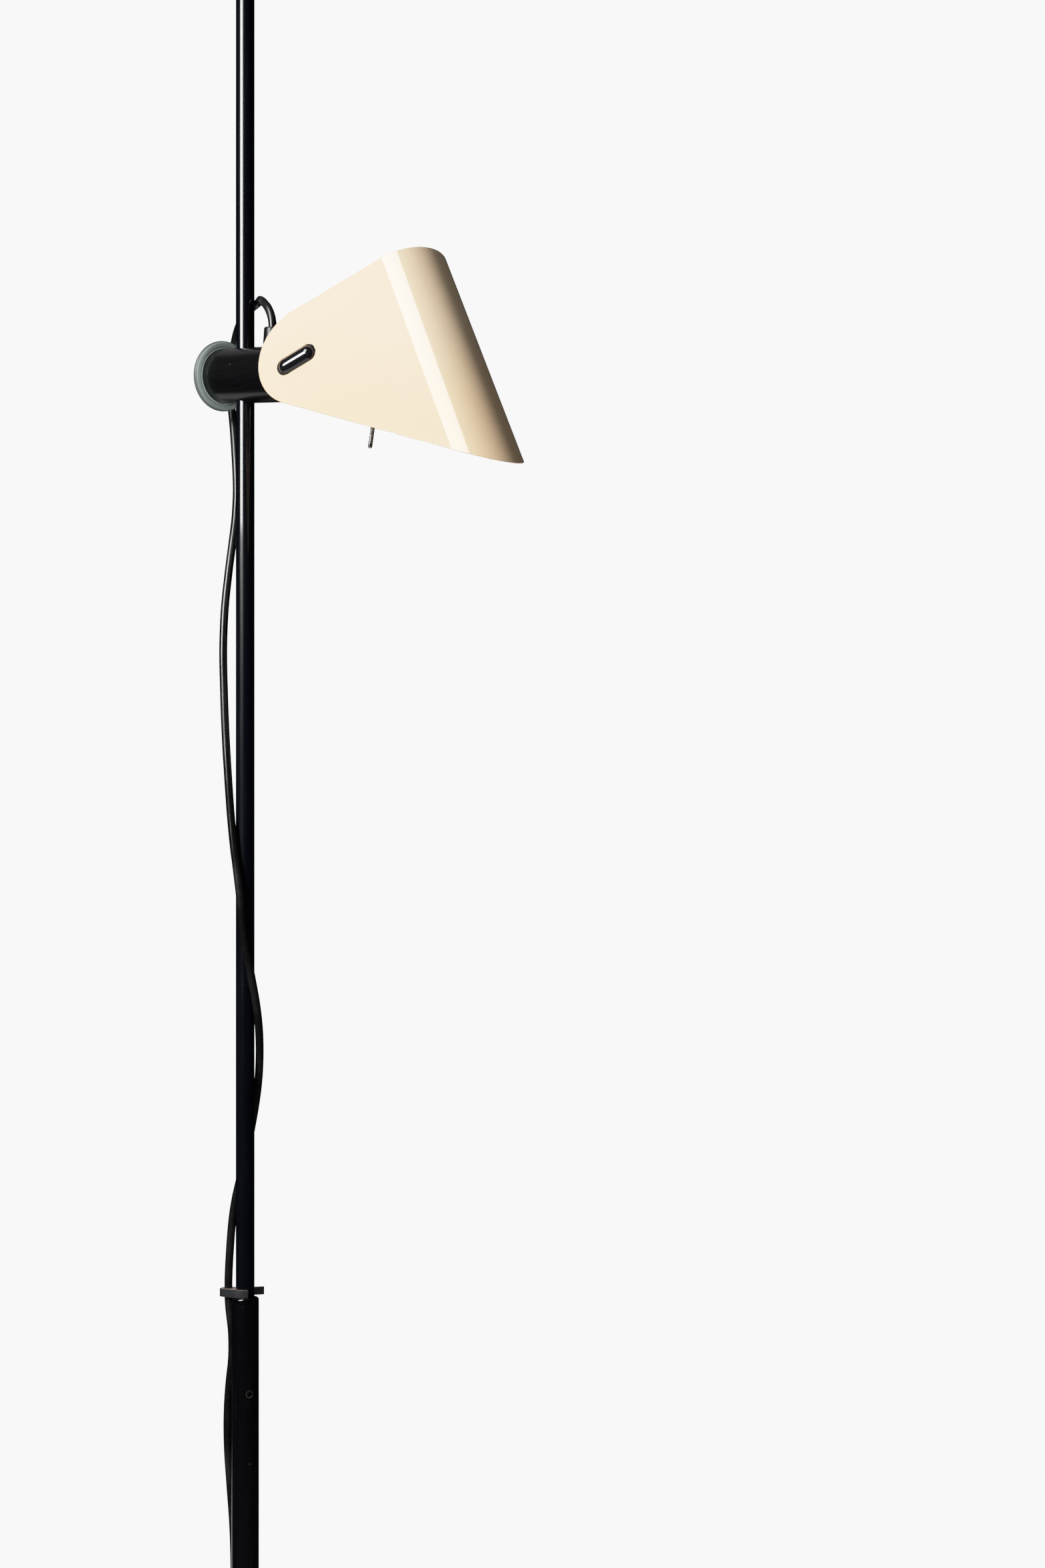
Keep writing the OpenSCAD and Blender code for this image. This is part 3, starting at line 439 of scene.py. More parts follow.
@dataclass(frozen=True)
class BarMetal(Finish):
    """Turned or drawn bare metal, with lines along one direction and some tarnish."""

    tarnish: Colour = (0.2, 0.17, 0.13)
    lines: Along = Along.Y
    grain: float = 0.3

    def paint(self, tree: ShaderTree) -> None:
        """Metal with drawn lines, cloudy tarnish and uneven gloss."""
        drawn = tree.noise(1500.0, 2.0, 0.5, tree.stretched(self.lines.value))
        cloud = tree.noise(80.0, 4.0, 0.6).step(0.45, 0.8)
        base = tree.layers(self.colour, (drawn * 0.25 + cloud * 0.3, self.tarnish))
        tree.surface(base, self.roughness + drawn * 0.1 + cloud * 0.15, 1.0)
        tree.relief(drawn, 0.04, self.grain)


@dataclass(frozen=True)
class DullMoulding(Finish):
    """Dark moulded nylon with a fine spark-eroded grain."""

    def paint(self, tree: ShaderTree) -> None:
        """Nylon with a pebbled grain and scuffed high spots."""
        scuff = tree.noise(240.0, 4.0, 0.7).step(0.58, 0.78)
        cloud = tree.noise(30.0) * 0.6
        base = tree.layers(self.colour, (cloud, (0.03, 0.03, 0.032)), (scuff * 0.2, (0.09, 0.09, 0.09)))
        tree.surface(base, self.roughness + scuff * 0.1)
        tree.relief(tree.cells(1900.0), 0.07, 0.3)


@dataclass(frozen=True)
class OpalGlass(Finish):
    """White opal bulb glass with a soft inner mottle."""

    def paint(self, tree: ShaderTree) -> None:
        """Milk-white glass under a clear smooth skin."""
        cloud = tree.noise(70.0, 3.0).step(0.3, 0.8)
        tree.surface(tree.layers(self.colour, (cloud * 0.6, (0.74, 0.73, 0.7))), self.roughness + cloud * 0.05)
        tree.coat(0.8, 0.03)
        tree.relief(tree.noise(45.0), 0.1, 0.1)


@dataclass(frozen=True)
class LeadSheath(Finish):
    """Black round lead: soft plastic with a low gloss, faint lay of the cores and handling marks."""

    def paint(self, tree: ShaderTree) -> None:
        """Sheath with long soft waves, matt patches and dust."""
        patch = tree.noise(26.0, 3.0, 0.6).step(0.4, 0.7)
        dust = tree.specks(330.0, 0.09, 0.05, 45.0, 0.55)
        base = tree.layers(self.colour, (patch, (0.012, 0.012, 0.013)), (dust * 0.3, (0.13, 0.13, 0.13)))
        tree.surface(base, self.roughness + patch * 0.12 + dust * 0.2)
        tree.relief(tree.noise(70.0, 2.0) * 0.7 + tree.noise(1300.0) * 0.3, 0.2, 0.3)


@dataclass(frozen=True)
class FloorPaper(Finish):
    """Pale studio floor."""

    def paint(self, tree: ShaderTree) -> None:
        """Even pale paper with a faint cloud."""
        cloud = tree.noise(1.5, 2.0)
        tree.surface(tree.layers(self.colour, (cloud * 0.3, (0.86, 0.86, 0.86))), self.roughness)


# Modelling


def corners(geom: Sequence) -> list[bmesh.types.BMVert]:
    """The vertices among some parts of a mesh."""
    return [v for v in geom if isinstance(v, bmesh.types.BMVert)]


def trim(bm: bmesh.types.BMesh, at: Sequence[float], way: Sequence[float], **options: float | bool) -> list:
    """Cuts a mesh along a plane.

    Args:
        bm: Mesh.
        at: A point of the plane.
        way: Its normal.
        **options: What bisect_plane also takes.

    Returns:
        The edges in the plane.
    """
    geom = bm.verts[:] + bm.edges[:] + bm.faces[:]
    cut = bmesh.ops.bisect_plane(bm, geom=geom, plane_co=at, plane_no=way, **options)["geom_cut"]
    return [e for e in cut if isinstance(e, bmesh.types.BMEdge)]


class Workpiece:
    """A mesh in the making, in metres, which becomes a piece of the lamp."""

    def __init__(self) -> None:
        """Starts empty."""
        self.bm = bmesh.new()

    @classmethod
    def from_node(cls, node: str) -> Self:
        """A merged copy of a CAD node.

        Args:
            node: Node's name.

        Returns:
            The copy, whose flat faces are whole again.
        """
        made = cls()
        made.bm.from_mesh(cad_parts[node].data)
        bmesh.ops.remove_doubles(made.bm, verts=made.bm.verts, dist=2e-6)
        bmesh.ops.dissolve_limit(
            made.bm, angle_limit=math.radians(0.6), verts=made.bm.verts, edges=made.bm.edges, delimit={"NORMAL"}
        )
        return made

    @classmethod
    def tube(cls, path: list[Vector], diameter: float) -> Self:
        """A round tube along a path.

        Args:
            path: Points in metres.
            diameter: Diameter in millimetres.

        Returns:
            The tube, with closed ends.
        """
        curve = bpy.data.curves.new("line", "CURVE")
        curve.dimensions, curve.bevel_depth, curve.bevel_resolution = "3D", diameter / 2 * MM, 5
        curve.use_fill_caps = True
        spline = curve.splines.new("POLY")
        spline.points.add(len(path) - 1)
        for point, p in zip(spline.points, path):
            point.co = (*p, 1.0)
        line = bpy.data.objects.new("line", curve)
        bpy.context.scene.collection.objects.link(line)
        bpy.context.view_layer.update()
        mesh = bpy.data.meshes.new_from_object(line.evaluated_get(bpy.context.evaluated_depsgraph_get()))
        made = cls()
        made.bm.from_mesh(mesh)
        bpy.data.objects.remove(line)
        bpy.data.curves.remove(curve)
        bpy.data.meshes.remove(mesh)
        bmesh.ops.remove_doubles(made.bm, verts=made.bm.verts, dist=1e-6)
        bmesh.ops.recalc_face_normals(made.bm, faces=made.bm.faces)
        return made

    def lathe(self, profile: Profile, place: Matrix = AT_ORIGIN, steps: int = 96, closed: bool = False) -> Self:
        """Adds a turned shape.

        Args:
            profile: Radius and height of each corner, in millimetres.
            place: Where its origin and Z axis go.
            steps: Steps round the axis.
            closed: Whether the profile is a ring that never meets the axis.

        Returns:
            This workpiece.
        """
        part = bmesh.new()
        rim = [part.verts.new((r * MM, 0.0, z * MM)) for r, z in profile]
        edges = [part.edges.new(pair) for pair in zip(rim, rim[1:])]
        if closed:
            edges.append(part.edges.new((rim[-1], rim[0])))
        bmesh.ops.spin(
            part, geom=rim + edges, cent=(0, 0, 0), axis=UP, angle=math.tau, steps=steps, use_merge=True
        )
        bmesh.ops.remove_doubles(part, verts=part.verts, dist=1e-6)
        bmesh.ops.recalc_face_normals(part, faces=part.faces)
        return self._take(part, place)

    def rod(self, radius: float, length: float, place: Matrix = AT_ORIGIN, sides: int = 48) -> Self:
        """Adds a cylinder or prism that stands on its origin.

        Args:
            radius: Radius in millimetres.
            length: Length in millimetres.
            place: Where its foot and axis go.
            sides: Sides of its outline.

        Returns:
            This workpiece.
        """
        part = bmesh.new()
        bmesh.ops.create_cone(
            part, cap_ends=True, segments=sides, radius1=radius * MM, radius2=radius * MM, depth=length * MM,
            matrix=shifted(0, 0, length / 2),
        )
        return self._take(part, place)

    def slug(self, length: float, width: float, height: float, place: Matrix) -> Self:
        """Adds a flat bar with round ends, which stands on its origin with X along it.

        Args:
            length: Whole length in millimetres.
            width: Width in millimetres.
            height: Height in millimetres.
            place: Where its origin goes.

        Returns:
            This workpiece.
        """
        part = bmesh.new()
        half_step = Matrix.Rotation(math.tau / 128, 4, "Z")
        bmesh.ops.create_circle(part, cap_ends=True, segments=64, radius=width / 2 * MM, matrix=half_step)
        for sign in (1, -1):
            half = [v for v in part.verts if v.co.x * sign > 0]
            bmesh.ops.translate(part, verts=half, vec=(sign * (length - width) / 2 * MM, 0, 0))
        grown = bmesh.ops.extrude_face_region(part, geom=part.faces[:])["geom"]
        bmesh.ops.translate(part, verts=corners(grown), vec=(0, 0, height * MM))
        bmesh.ops.recalc_face_normals(part, faces=part.faces)
        return self._take(part, place)

    def capsule(self, length: float, width: float, sink: float, place: Matrix) -> Self:
        """Adds a rod with round ends that is cut flat below its origin.

        Args:
            length: Whole length in millimetres.
            width: Diameter in millimetres.
            sink: Depth of its axis below the origin, in millimetres.
            place: Where its origin goes, with X along it.

        Returns:
            This workpiece.
        """
        part = bmesh.new()
        bmesh.ops.create_uvsphere(part, u_segments=48, v_segments=24, radius=width / 2 * MM)
        bmesh.ops.rotate(part, verts=part.verts, cent=(0, 0, 0), matrix=turned(90, "Y", 3))
        bmesh.ops.split_edges(part, edges=trim(part, (0, 0, 0), (1, 0, 0), dist=1e-7))
        for sign in (1, -1):
            end = {v for face in part.faces if face.calc_center_median().x * sign > 0 for v in face.verts}
            bmesh.ops.translate(part, verts=list(end), vec=(sign * (length - width) / 2 * MM, 0, 0))
        bmesh.ops.bridge_loops(part, edges=[e for e in part.edges if e.is_boundary])
        bmesh.ops.translate(part, verts=part.verts, vec=(0, 0, -sink * MM))
        rim = trim(part, (0, 0, -0.9 * sink * MM), UP, clear_inner=True)
        bmesh.ops.contextual_create(part, geom=rim)
        bmesh.ops.recalc_face_normals(part, faces=part.faces)
        return self._take(part, place)

    def _take(self, part: bmesh.types.BMesh, place: Matrix) -> Self:
        """Moves a part into place and joins it.

        Args:
            part: Part about its own origin.
            place: Where it goes.

        Returns:
            This workpiece.
        """
        bmesh.ops.transform(part, matrix=place, verts=part.verts)
        if place.determinant() < 0:
            bmesh.ops.reverse_faces(part, faces=part.faces)
        joined = bpy.data.meshes.new("part")
        part.to_mesh(joined)
        part.free()
        self.bm.from_mesh(joined)
        bpy.data.meshes.remove(joined)
        return self

    def soften(self, width: float, segments: int = 2, over: float = 32.0,
               where: Callable[[Vector], bool] | None = None) -> Self:
        """Rounds the sharp edges.

        Args:
            width: Width of the rounding in millimetres.
            segments: Steps of the rounding.
            over: Least angle of an edge that is rounded, in degrees.
            where: Test on an edge's middle, in metres.

        Returns:
            This workpiece.
        """
        sharp = [
            e for e in self.bm.edges
            if len(e.link_faces) == 2 and e.calc_face_angle(0.0) > math.radians(over)
            and (where is None or where((e.verts[0].co + e.verts[1].co) / 2))
        ]
        bmesh.ops.bevel(
            self.bm, geom=sharp, offset=width * MM, offset_type="OFFSET", segments=segments, profile=0.5,
            affect="EDGES", clamp_overlap=True, material=-1,
        )
        return self

    def cut(self, tool: Self) -> Self:
        """Takes another shape away.

        Args:
            tool: Shape that is taken away and used up.

        Returns:
            This workpiece.
        """
        body, knife = self._trial("body"), tool._trial("knife")
        change = body.modifiers.new("cut", "BOOLEAN")
        change.operation, change.solver, change.object = "DIFFERENCE", "EXACT", knife
        bpy.context.view_layer.update()
        result = bpy.data.meshes.new_from_object(body.evaluated_get(bpy.context.evaluated_depsgraph_get()))
        self.bm.clear()
        self.bm.from_mesh(result)
        tool.bm.free()
        spare = [body.data, knife.data, result]
        for scratch in (body, knife):
            bpy.data.objects.remove(scratch)
        for mesh in spare:
            bpy.data.meshes.remove(mesh)
        return self

    def _trial(self, name: str) -> bpy.types.Object:
        """An object of a name in the scene, with this shape."""
        mesh = bpy.data.meshes.new(name)
        self.bm.to_mesh(mesh)
        made = bpy.data.objects.new(name, mesh)
        bpy.context.scene.collection.objects.link(made)
        return made

    def piece(self, name: str, finish: Finish, smooth: float = 32.0, even: bool = False,
              flat: Sequence[Vector] = ()) -> bpy.types.Object:
        """Turns the mesh into an object at the origin.

        Args:
            name: Piece's name.
            finish: Its finish.
            smooth: Edges under this angle are shaded smooth, in degrees.
            even: Whether large faces keep their own direction of shading.
            flat: Directions of the planes whose faces are shaded flat.

        Returns:
            The object.
        """
        made = self._trial(name)
        made.data.materials.append(finish.material())
        made.data.shade_smooth()
        made.data.set_sharp_from_angle(angle=math.radians(smooth))
        for face in made.data.polygons:
            if any(abs(face.normal.dot(plane)) > math.cos(math.radians(0.4)) for plane in flat):
                face.use_smooth = False
        if even:
            made.modifiers.new("even_shading", "WEIGHTED_NORMAL").keep_sharp = True
        self.bm.free()
        return made


@dataclass
class Assembly:
    """A group of pieces that is built together."""

    made: list[str] = field(default_factory=list)

    def _enter(self, piece: bpy.types.Object, nodes: Sequence[str]) -> None:
        """Hides the CAD nodes that a piece stands for, and reports the piece."""
        if nodes:
            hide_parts(*nodes)
        self.made.append(piece.name)
        LOG.info("built %s, %d faces", piece.name, len(piece.data.polygons))

    def settle(self, piece: bpy.types.Object, body: str, slot: str, *nodes: str) -> bpy.types.Object:
        """Makes a piece ride on its body, in place of CAD nodes.

        Args:
            piece: New piece.
            body: Body that it rides on.
            slot: Material slot of the record, not used.
            *nodes: CAD nodes that it stands for.

        Returns:
            The piece.
        """
        self._enter(piece, nodes)
        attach(piece, body)
        return piece

    def stretch(self, piece: bpy.types.Object, bodies: Sequence[str], slot: str, heights: Sequence[float],
                node: str) -> None:
        """Puts a piece in place of a CAD node, with its placement baked into its mesh.

        Args:
            piece: New piece.
            bodies: Body at its start and body at its end, not used.
            slot: Material slot of the record, not used.
            heights: Height up to which it follows the first and from which it follows the second, in metres; not used.
            node: CAD node that it stands for.
        """
        self._enter(piece, [node])
        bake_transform(piece)

    def refine(self, node: str, name: str, finish: Finish, body: str, slot: str, width: float, segments: int = 2,
               over: float = 50.0, where: Callable[[Vector], bool] | None = None,
               even: bool = False) -> bpy.types.Object:
        """Makes a piece of a CAD node by rounding its edges.

        Args:
            node: Node's name.
            name: Piece's name.
            finish: Its finish.
            body: Body that it rides on.
            slot: Material slot of the record, not used.
            width: Width of the rounding in millimetres.
            segments: Steps of the rounding.
            over: Least angle of an edge that is rounded, in degrees.
            where: Test on an edge's middle, in metres.
            even: Whether large faces keep their own direction of shading.

        Returns:
            The piece.
        """
        work = Workpiece.from_node(node).soften(width, segments, over, where)
        return self.settle(work.piece(name, finish, even=even), body, slot, node)

    def dress(self, finish: Finish, *nodes: str) -> None:
        """Gives CAD nodes that stay their finish.

        Args:
            finish: The finish.
            *nodes: Names of the nodes.
        """
        for node in nodes:
            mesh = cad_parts[node].data
            if not mesh.materials:
                mesh.materials.append(finish.material())
            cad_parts[node].material_slots[0].material = finish.material()
            self.made.append(node)
            LOG.info("dressed %s in %s", node, finish.name)


# The lamp's frame


@dataclass(frozen=True)
class Layout:
    """Main places of the lamp, in millimetres, as the CAD source has them."""

    height: float = 2450.0
    shoulder: float = 850.0
    arm_z: float = 1690.0
    droop: float = 6.5
    arm_front: float = 206.0
    pivot: float = 178.5
    gland: float = 37.1
    toggle: float = 194.0
    fold_turn: float = 34.9
    plate_lean: float = 24.0
    fold_reach: float = 116.6
    fold_r: float = 39.7

    def arm(self) -> Matrix:
        """Frame of the arm: X along it and Z above it."""
        return shifted(0, 0, self.arm_z) @ turned(self.droop, "Y")

    def along(self, distance: float = 0.0) -> Matrix:
        """Frame on the arm's axis, at a distance from the pole in millimetres, with Z towards the shade."""
        return self.arm() @ turned(90, "Y") @ shifted(0, 0, distance)

    def above(self, distance: float, height: float = 0.0) -> Matrix:
        """Frame at a distance from the pole and a height over the arm's axis, in millimetres, with Z up."""
        return self.arm() @ shifted(distance, 0, height)

    def half_width(self) -> float:
        """Half width of the shade at the tilt axis, in millimetres."""
        half = math.radians(90 - self.plate_lean)
        start_x = self.fold_reach - self.fold_r + self.fold_r * math.cos(half)
        return self.fold_r * math.sin(half) + start_x * math.tan(math.radians(self.plate_lean))

    def on_plate(self, side: Side) -> Matrix:
        """Frame on a plate's outer face over the tilt axis, with X along the slot and Z out of the plate.

        Args:
            side: Side of the shade.

        Returns:
            The frame, mirrored on the right.
        """
        return (
            self.above(self.pivot) @ Matrix.Diagonal((1, side.value, 1, 1)) @ turned(-self.fold_turn, "Y")
            @ shifted(0, self.half_width(), 0) @ turned(-self.plate_lean, "Z") @ turned(-90, "X")
        )


LAYOUT = Layout()
ARM_AXIS: Point = tuple(LAYOUT.arm().to_3x3() @ Vector((1, 0, 0)))

POST_LACQUER = TubeLacquer("post_lacquer", (0.0014, 0.0018, 0.0032), 0.2, (0.0025, 0.0035, 0.0065))
THICK_LACQUER = TubeLacquer("thick_tube_lacquer", (0.0012, 0.0013, 0.0018), 0.22, (0.0022, 0.0024, 0.003))
COLLAR_LACQUER = TubeLacquer("collar_lacquer", (0.0012, 0.0013, 0.0018), 0.12, (0.0022, 0.0024, 0.003), coat=0.9)
ARM_LACQUER = TubeLacquer("arm_lacquer", (0.0012, 0.0012, 0.0015), 0.3, (0.003, 0.003, 0.0035), (0.05, 1.0, 1.0), 0.3)
SHADE_ENAMEL = SheetEnamel(
    "shade_enamel", (0.85, 0.662, 0.46), 0.3, warm_cloud_and_painted_light=(0.845, 0.612, 0.395), tip=(0.35, 0.0, 1.66), tip_reach=0.07
)
KNOB = CastKnob("clamp_knob", (0.64, 0.76, 0.73), 0.42, axis=ARM_AXIS, centre=(-0.0344, 0.0, 1.694), rim_r=0.032)
KEY_MOULDING = GlossMoulding("key_moulding", (0.006, 0.006, 0.007), 0.12)
HOLDER_MOULDING = GlossMoulding("holder_moulding", (0.01, 0.009, 0.009), 0.24)
RUBBER = MattRubber("rubber", (0.012, 0.012, 0.013), 0.55)
GLAND_RUBBER = MattRubber("gland_rubber", (0.0025, 0.0025, 0.003), 0.34, bloom=(0.009, 0.009, 0.01))
CLIP_RUBBER = MattRubber("clip_rubber", (0.016, 0.017, 0.018), 0.45, bloom=(0.06, 0.06, 0.065), top_highlight=0.8)
NYLON = DullMoulding("nylon", (0.014, 0.014, 0.015), 0.42)
DARK_STEEL = BarMetal("dark_steel", (0.05, 0.05, 0.052), 0.34, tarnish=(0.02, 0.02, 0.02))
STEEL = BarMetal("steel", (0.55, 0.55, 0.56), 0.24)
LEVER_STEEL = BarMetal("lever_steel", (0.72, 0.72, 0.73), 0.2, tarnish=(0.6, 0.6, 0.6), lines=Along.Z, grain=0.02)
WORN_EDGE = BarMetal("worn_edge", (0.42, 0.4, 0.38), 0.36, tarnish=(0.05, 0.05, 0.05))
BRASS = BarMetal("brass", (0.66, 0.47, 0.2), 0.28, tarnish=(0.25, 0.16, 0.06), lines=Along.X)
BULB_GLASS = OpalGlass("bulb_glass", (0.82, 0.81, 0.78), 0.16)
SHEATH = LeadSheath("lead_sheath", (0.005, 0.005, 0.0055), 0.17)
LEAD_CORES = LeadSheath("lead_cores", (0.12, 0.1, 0.09), 0.4)
FLOOR = FloorPaper("floor_paper", (0.9, 0.9, 0.9), 0.8)


# Cord


@dataclass
class Lead(Assembly):
    """The mains lead: a route past the arm, down the pole and over the floor to a coil and plug.

    A point of the route is how far right of the pole, behind it and up the camera sees it, in millimetres.
    """

    diameter: float = 7.5
    view_turn: float = 53.6
    run_ends: tuple[int, ...] = (21, 35, 46)
    spans: tuple[tuple[float, float], ...] = ((1.70, 1.541), (1.539, 1.094), (1.092, 0.862))
    coil_x: float = -118.0
    coil_y: float = 40.0
    turns: int = 3
    gap: float = 0.6
    inner_r: float = 30.0
    tie_t: float = 1.2
    rings: int = 24
    tail: float = 46.0
    plug_h: float = 14.0
    neck_l: float = 20.0
    route: tuple[Point, ...] = (
        (23.7, -32.2, 1713.6), (24.2, -32.8, 1721), (24.6, -33.4, 1728), (23.6, -32.5, 1737), (20.6, -28.5, 1746),
        (16.5, -20, 1753), (13.8, -10.4, 1757), (13.4, 0, 1758.5), (10.6, 10.2, 1757.5), (4, 18.8, 1753.5),
        (-2.5, 27, 1747), (-6.8, 35, 1738.5), (-9.5, 42, 1729), (-12, 47.5, 1716), (-14, 50.5, 1700),
        (-14.6, 51, 1687), (-13.2, 48.5, 1673), (-11.5, 44.5, 1658), (-9.2, 36, 1626), (-7.7, 29, 1590),
        (-9, 23.5, 1562), (-11.6, 19.5, 1540),
        (-15, 16, 1513), (-18.6, 12, 1478), (-20, 8.5, 1440), (-19.2, 5.5, 1400), (-17.8, 2.5, 1363),
        (-15.7, -1.5, 1327), (-13.2, -5, 1291), (-10.5, -8.5, 1262), (-7.7, -10.5, 1240), (-4.4, -12.3, 1212),
        (-0.8, -13, 1175), (4.8, -12.5, 1146), (10, -9, 1117), (12.6, -4.5, 1093),
        (13.1, 0.5, 1068), (11.8, 5.5, 1044), (8.6, 9.8, 1020), (4.6, 12.3, 998), (0.2, 13, 978), (-4.5, 12.4, 957),
        (-8.8, 10.8, 938), (-11.8, 9.3, 918), (-14, 8, 890), (-15.1, 7.2, 868), (-15.2, 7, 853.6),
        (-15.1, 7.2, 848.5), (-14.4, 8.8, 838), (-12, 12.2, 815), (-12, 12.4, 792), (-14.5, 10.5, 768),
        (-16, 9.2, 742), (-15.8, 9.4, 712), (-13.5, 11.5, 676), (-11, 14, 640), (-9.8, 15.2, 600), (-9.5, 15.5, 540),
        (-9.5, 15.8, 470), (-9.8, 16, 400), (-10, 16.3, 330), (-10.2, 16.5, 260), (-10.4, 17, 195), (-10.8, 18, 140),
        (-11.6, 20, 100), (-13.5, 24, 68), (-21.7, 31.2, 43), (-32.7, 39.3, 25), (-45.2, 48.7, 12.5),
        (-57.9, 59.2, 6.6), (-68, 69.1, 5),
    )

    def _coil(self) -> list[Vector]:
        """Points of the coil and its tail up to the plug, in metres."""
        pitch, mid = self.diameter + self.gap, self.turns + 0.25
        outer_r = self.inner_r + mid * pitch
        x, y, z, plug_z = self.coil_x, self.coil_y, self.tie_t + 0.01 + self.diameter / 2, self.plug_h / 2
        points = [Vector((x + 10, y - outer_r, z))]
        for i in range(round(2 * mid * self.rings) + 1):
            n = i / self.rings
            r = self.inner_r + pitch * abs(n - mid)
            rise = pitch * (1 - math.cos(math.pi * min(max((n - self.turns) * 2, 0), 1))) / 2
            a = math.radians(-90 - 360 * n)
            points.append(Vector((x + r * math.cos(a), y + r * math.sin(a), z + rise)))
        for k in (0.35, 0.7, 1.0):
            fall = (1 + math.cos(math.pi * min((k - 0.1) / 0.6, 1))) / 2
            points.append(Vector((x + self.tail * k, y + outer_r, plug_z + (z + pitch - plug_z) * fall)))
        points.append(Vector((x + self.tail + self.diameter, y + outer_r, plug_z)))
        return [p * MM for p in points]

    @staticmethod
    def _eased(points: list[Vector], per: int) -> list[list[Vector]]:
        """Points of a smooth curve through the route, one list for each stretch.

        Args:
            points: Route.
            per: Steps in a stretch.

        Returns:
            The points of each stretch, without its last.
        """
        stretches = []
        for i in range(len(points) - 1):
            p0, p1 = points[max(i - 1, 0)], points[i]
            p2, p3 = points[i + 1], points[min(i + 2, len(points) - 1)]
            reach = (p2 - p1).length
            m1 = (p2 - p0) * (reach / max((p2 - p0).length, 1e-9))
            m2 = (p3 - p1) * (reach / max((p3 - p1).length, 1e-9))
            stretches.append([
                p1 * (2 * t**3 - 3 * t**2 + 1) + m1 * (t**3 - 2 * t**2 + t) + p2 * (3 * t**2 - 2 * t**3)
                + m2 * (t**3 - t**2)
                for t in (k / per for k in range(per))
            ])
        return stretches

    def build(self) -> None:
        walk = [turned(self.view_turn, "Z", 3) @ Vector(p) * MM for p in self.route]
        coil = self._coil()
        walk.append(coil[0])
        fine = self._eased(walk, 5)
        ends = [0, *self.run_ends, len(walk) - 1]
        runs = [sum(fine[a:b], []) + [walk[b]] for a, b in zip(ends, ends[1:])]
        runs.append(sum(self._eased(coil, 3), []) + [coil[-1]])
        names = ("top", "mid", "low", "floor", "coil")
        tubes = [
            Workpiece.tube(path, self.diameter).piece(f"lead_{name}", SHEATH, 50.0) for name, path in zip(names, runs)
        ]
        bodies = ("arm", "arm_sleeve", "upper_post", "floor_post")
        for name, tube, pair, span in zip(names, tubes, zip(bodies, bodies[1:]), self.spans):
            self.stretch(tube, pair, "cord_black", span, f"cord_{name}")
        for name, tube in zip(names[3:], tubes[3:]):
            self.settle(tube, "floor_post", "cord_black", f"cord_{name}")
        plug = self._plug(coil[-1])
        lays = ("hanging", "hanging", "hanging", "loose", "coiled")
        for tube, path, lay in zip(tubes, runs, lays):
            length = sum((b - a).length for a, b in zip(path, path[1:]))
            last = lay == "coiled"
            LOG.info("%s is %.3f m long", tube.name, length)
        self.refine("coil_tie", "coil_tie_strap", RUBBER, "floor_post", "rubber", 0.5, 3, 32.0)
        self.refine("cord_clip", "lead_clip", CLIP_RUBBER, "floor_post", "rubber", 0.35, 2, 40.0, even=True)

    def _plug(self, end: Vector) -> list[bpy.types.Object]:
        """The moulded plug, with a ribbed tapered strain relief and round pins.

        Args:
            end: Where the lead ends inside it, in metres.

        Returns:
            The plug's pieces.
        """
        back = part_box("plug_body")[0].x
        ribs: Profile = [(3.8, 0.0), (4.9, 0.0)]
        for z in (1.6 + 2.5 * i for i in range(7)):
            r = 4.9 + (z / self.neck_l) * 1.6
            ribs += [(r, z), (r - 0.7, z + 0.4), (r - 0.7, z + 1.1), (r + 0.2, z + 1.5)]
        ribs += [(6.5, self.neck_l), (0.0, self.neck_l), (0.0, 7.0), (3.8, 7.0)]
        body = self.refine(
            "plug_body", "plug_housing", RUBBER, "floor_post", "rubber", 1.6, 4, 28.0,
            lambda p: p.x > back + 0.0205, True,
        )
        neck = Workpiece().lathe(ribs, Matrix.Translation((back, end.y, end.z)) @ turned(90, "Y"), 48).soften(0.2)
        made = [body, self.settle(neck.piece("plug_neck", RUBBER), "floor_post", "rubber")]
        for name in ("pin_left", "pin_right"):
            foot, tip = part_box("plug_" + name)
            place = Matrix.Translation((foot.x, (foot.y + tip.y) / 2, (foot.z + tip.z) / 2)) @ turned(90, "Y")
            long, r = (tip.x - foot.x) / MM, (tip.y - foot.y) / MM / 2
            shape = [(0, 0), (r, 0), (r, long - 1.4), (r - 0.4, long - 0.5), (r - 1.1, long), (0, long)]
            pin = Workpiece().lathe(shape, place, 32).soften(0.25)
            made.append(self.settle(pin.piece(name, STEEL), "floor_post", "steel", "plug_" + name))
        return made


# Pole


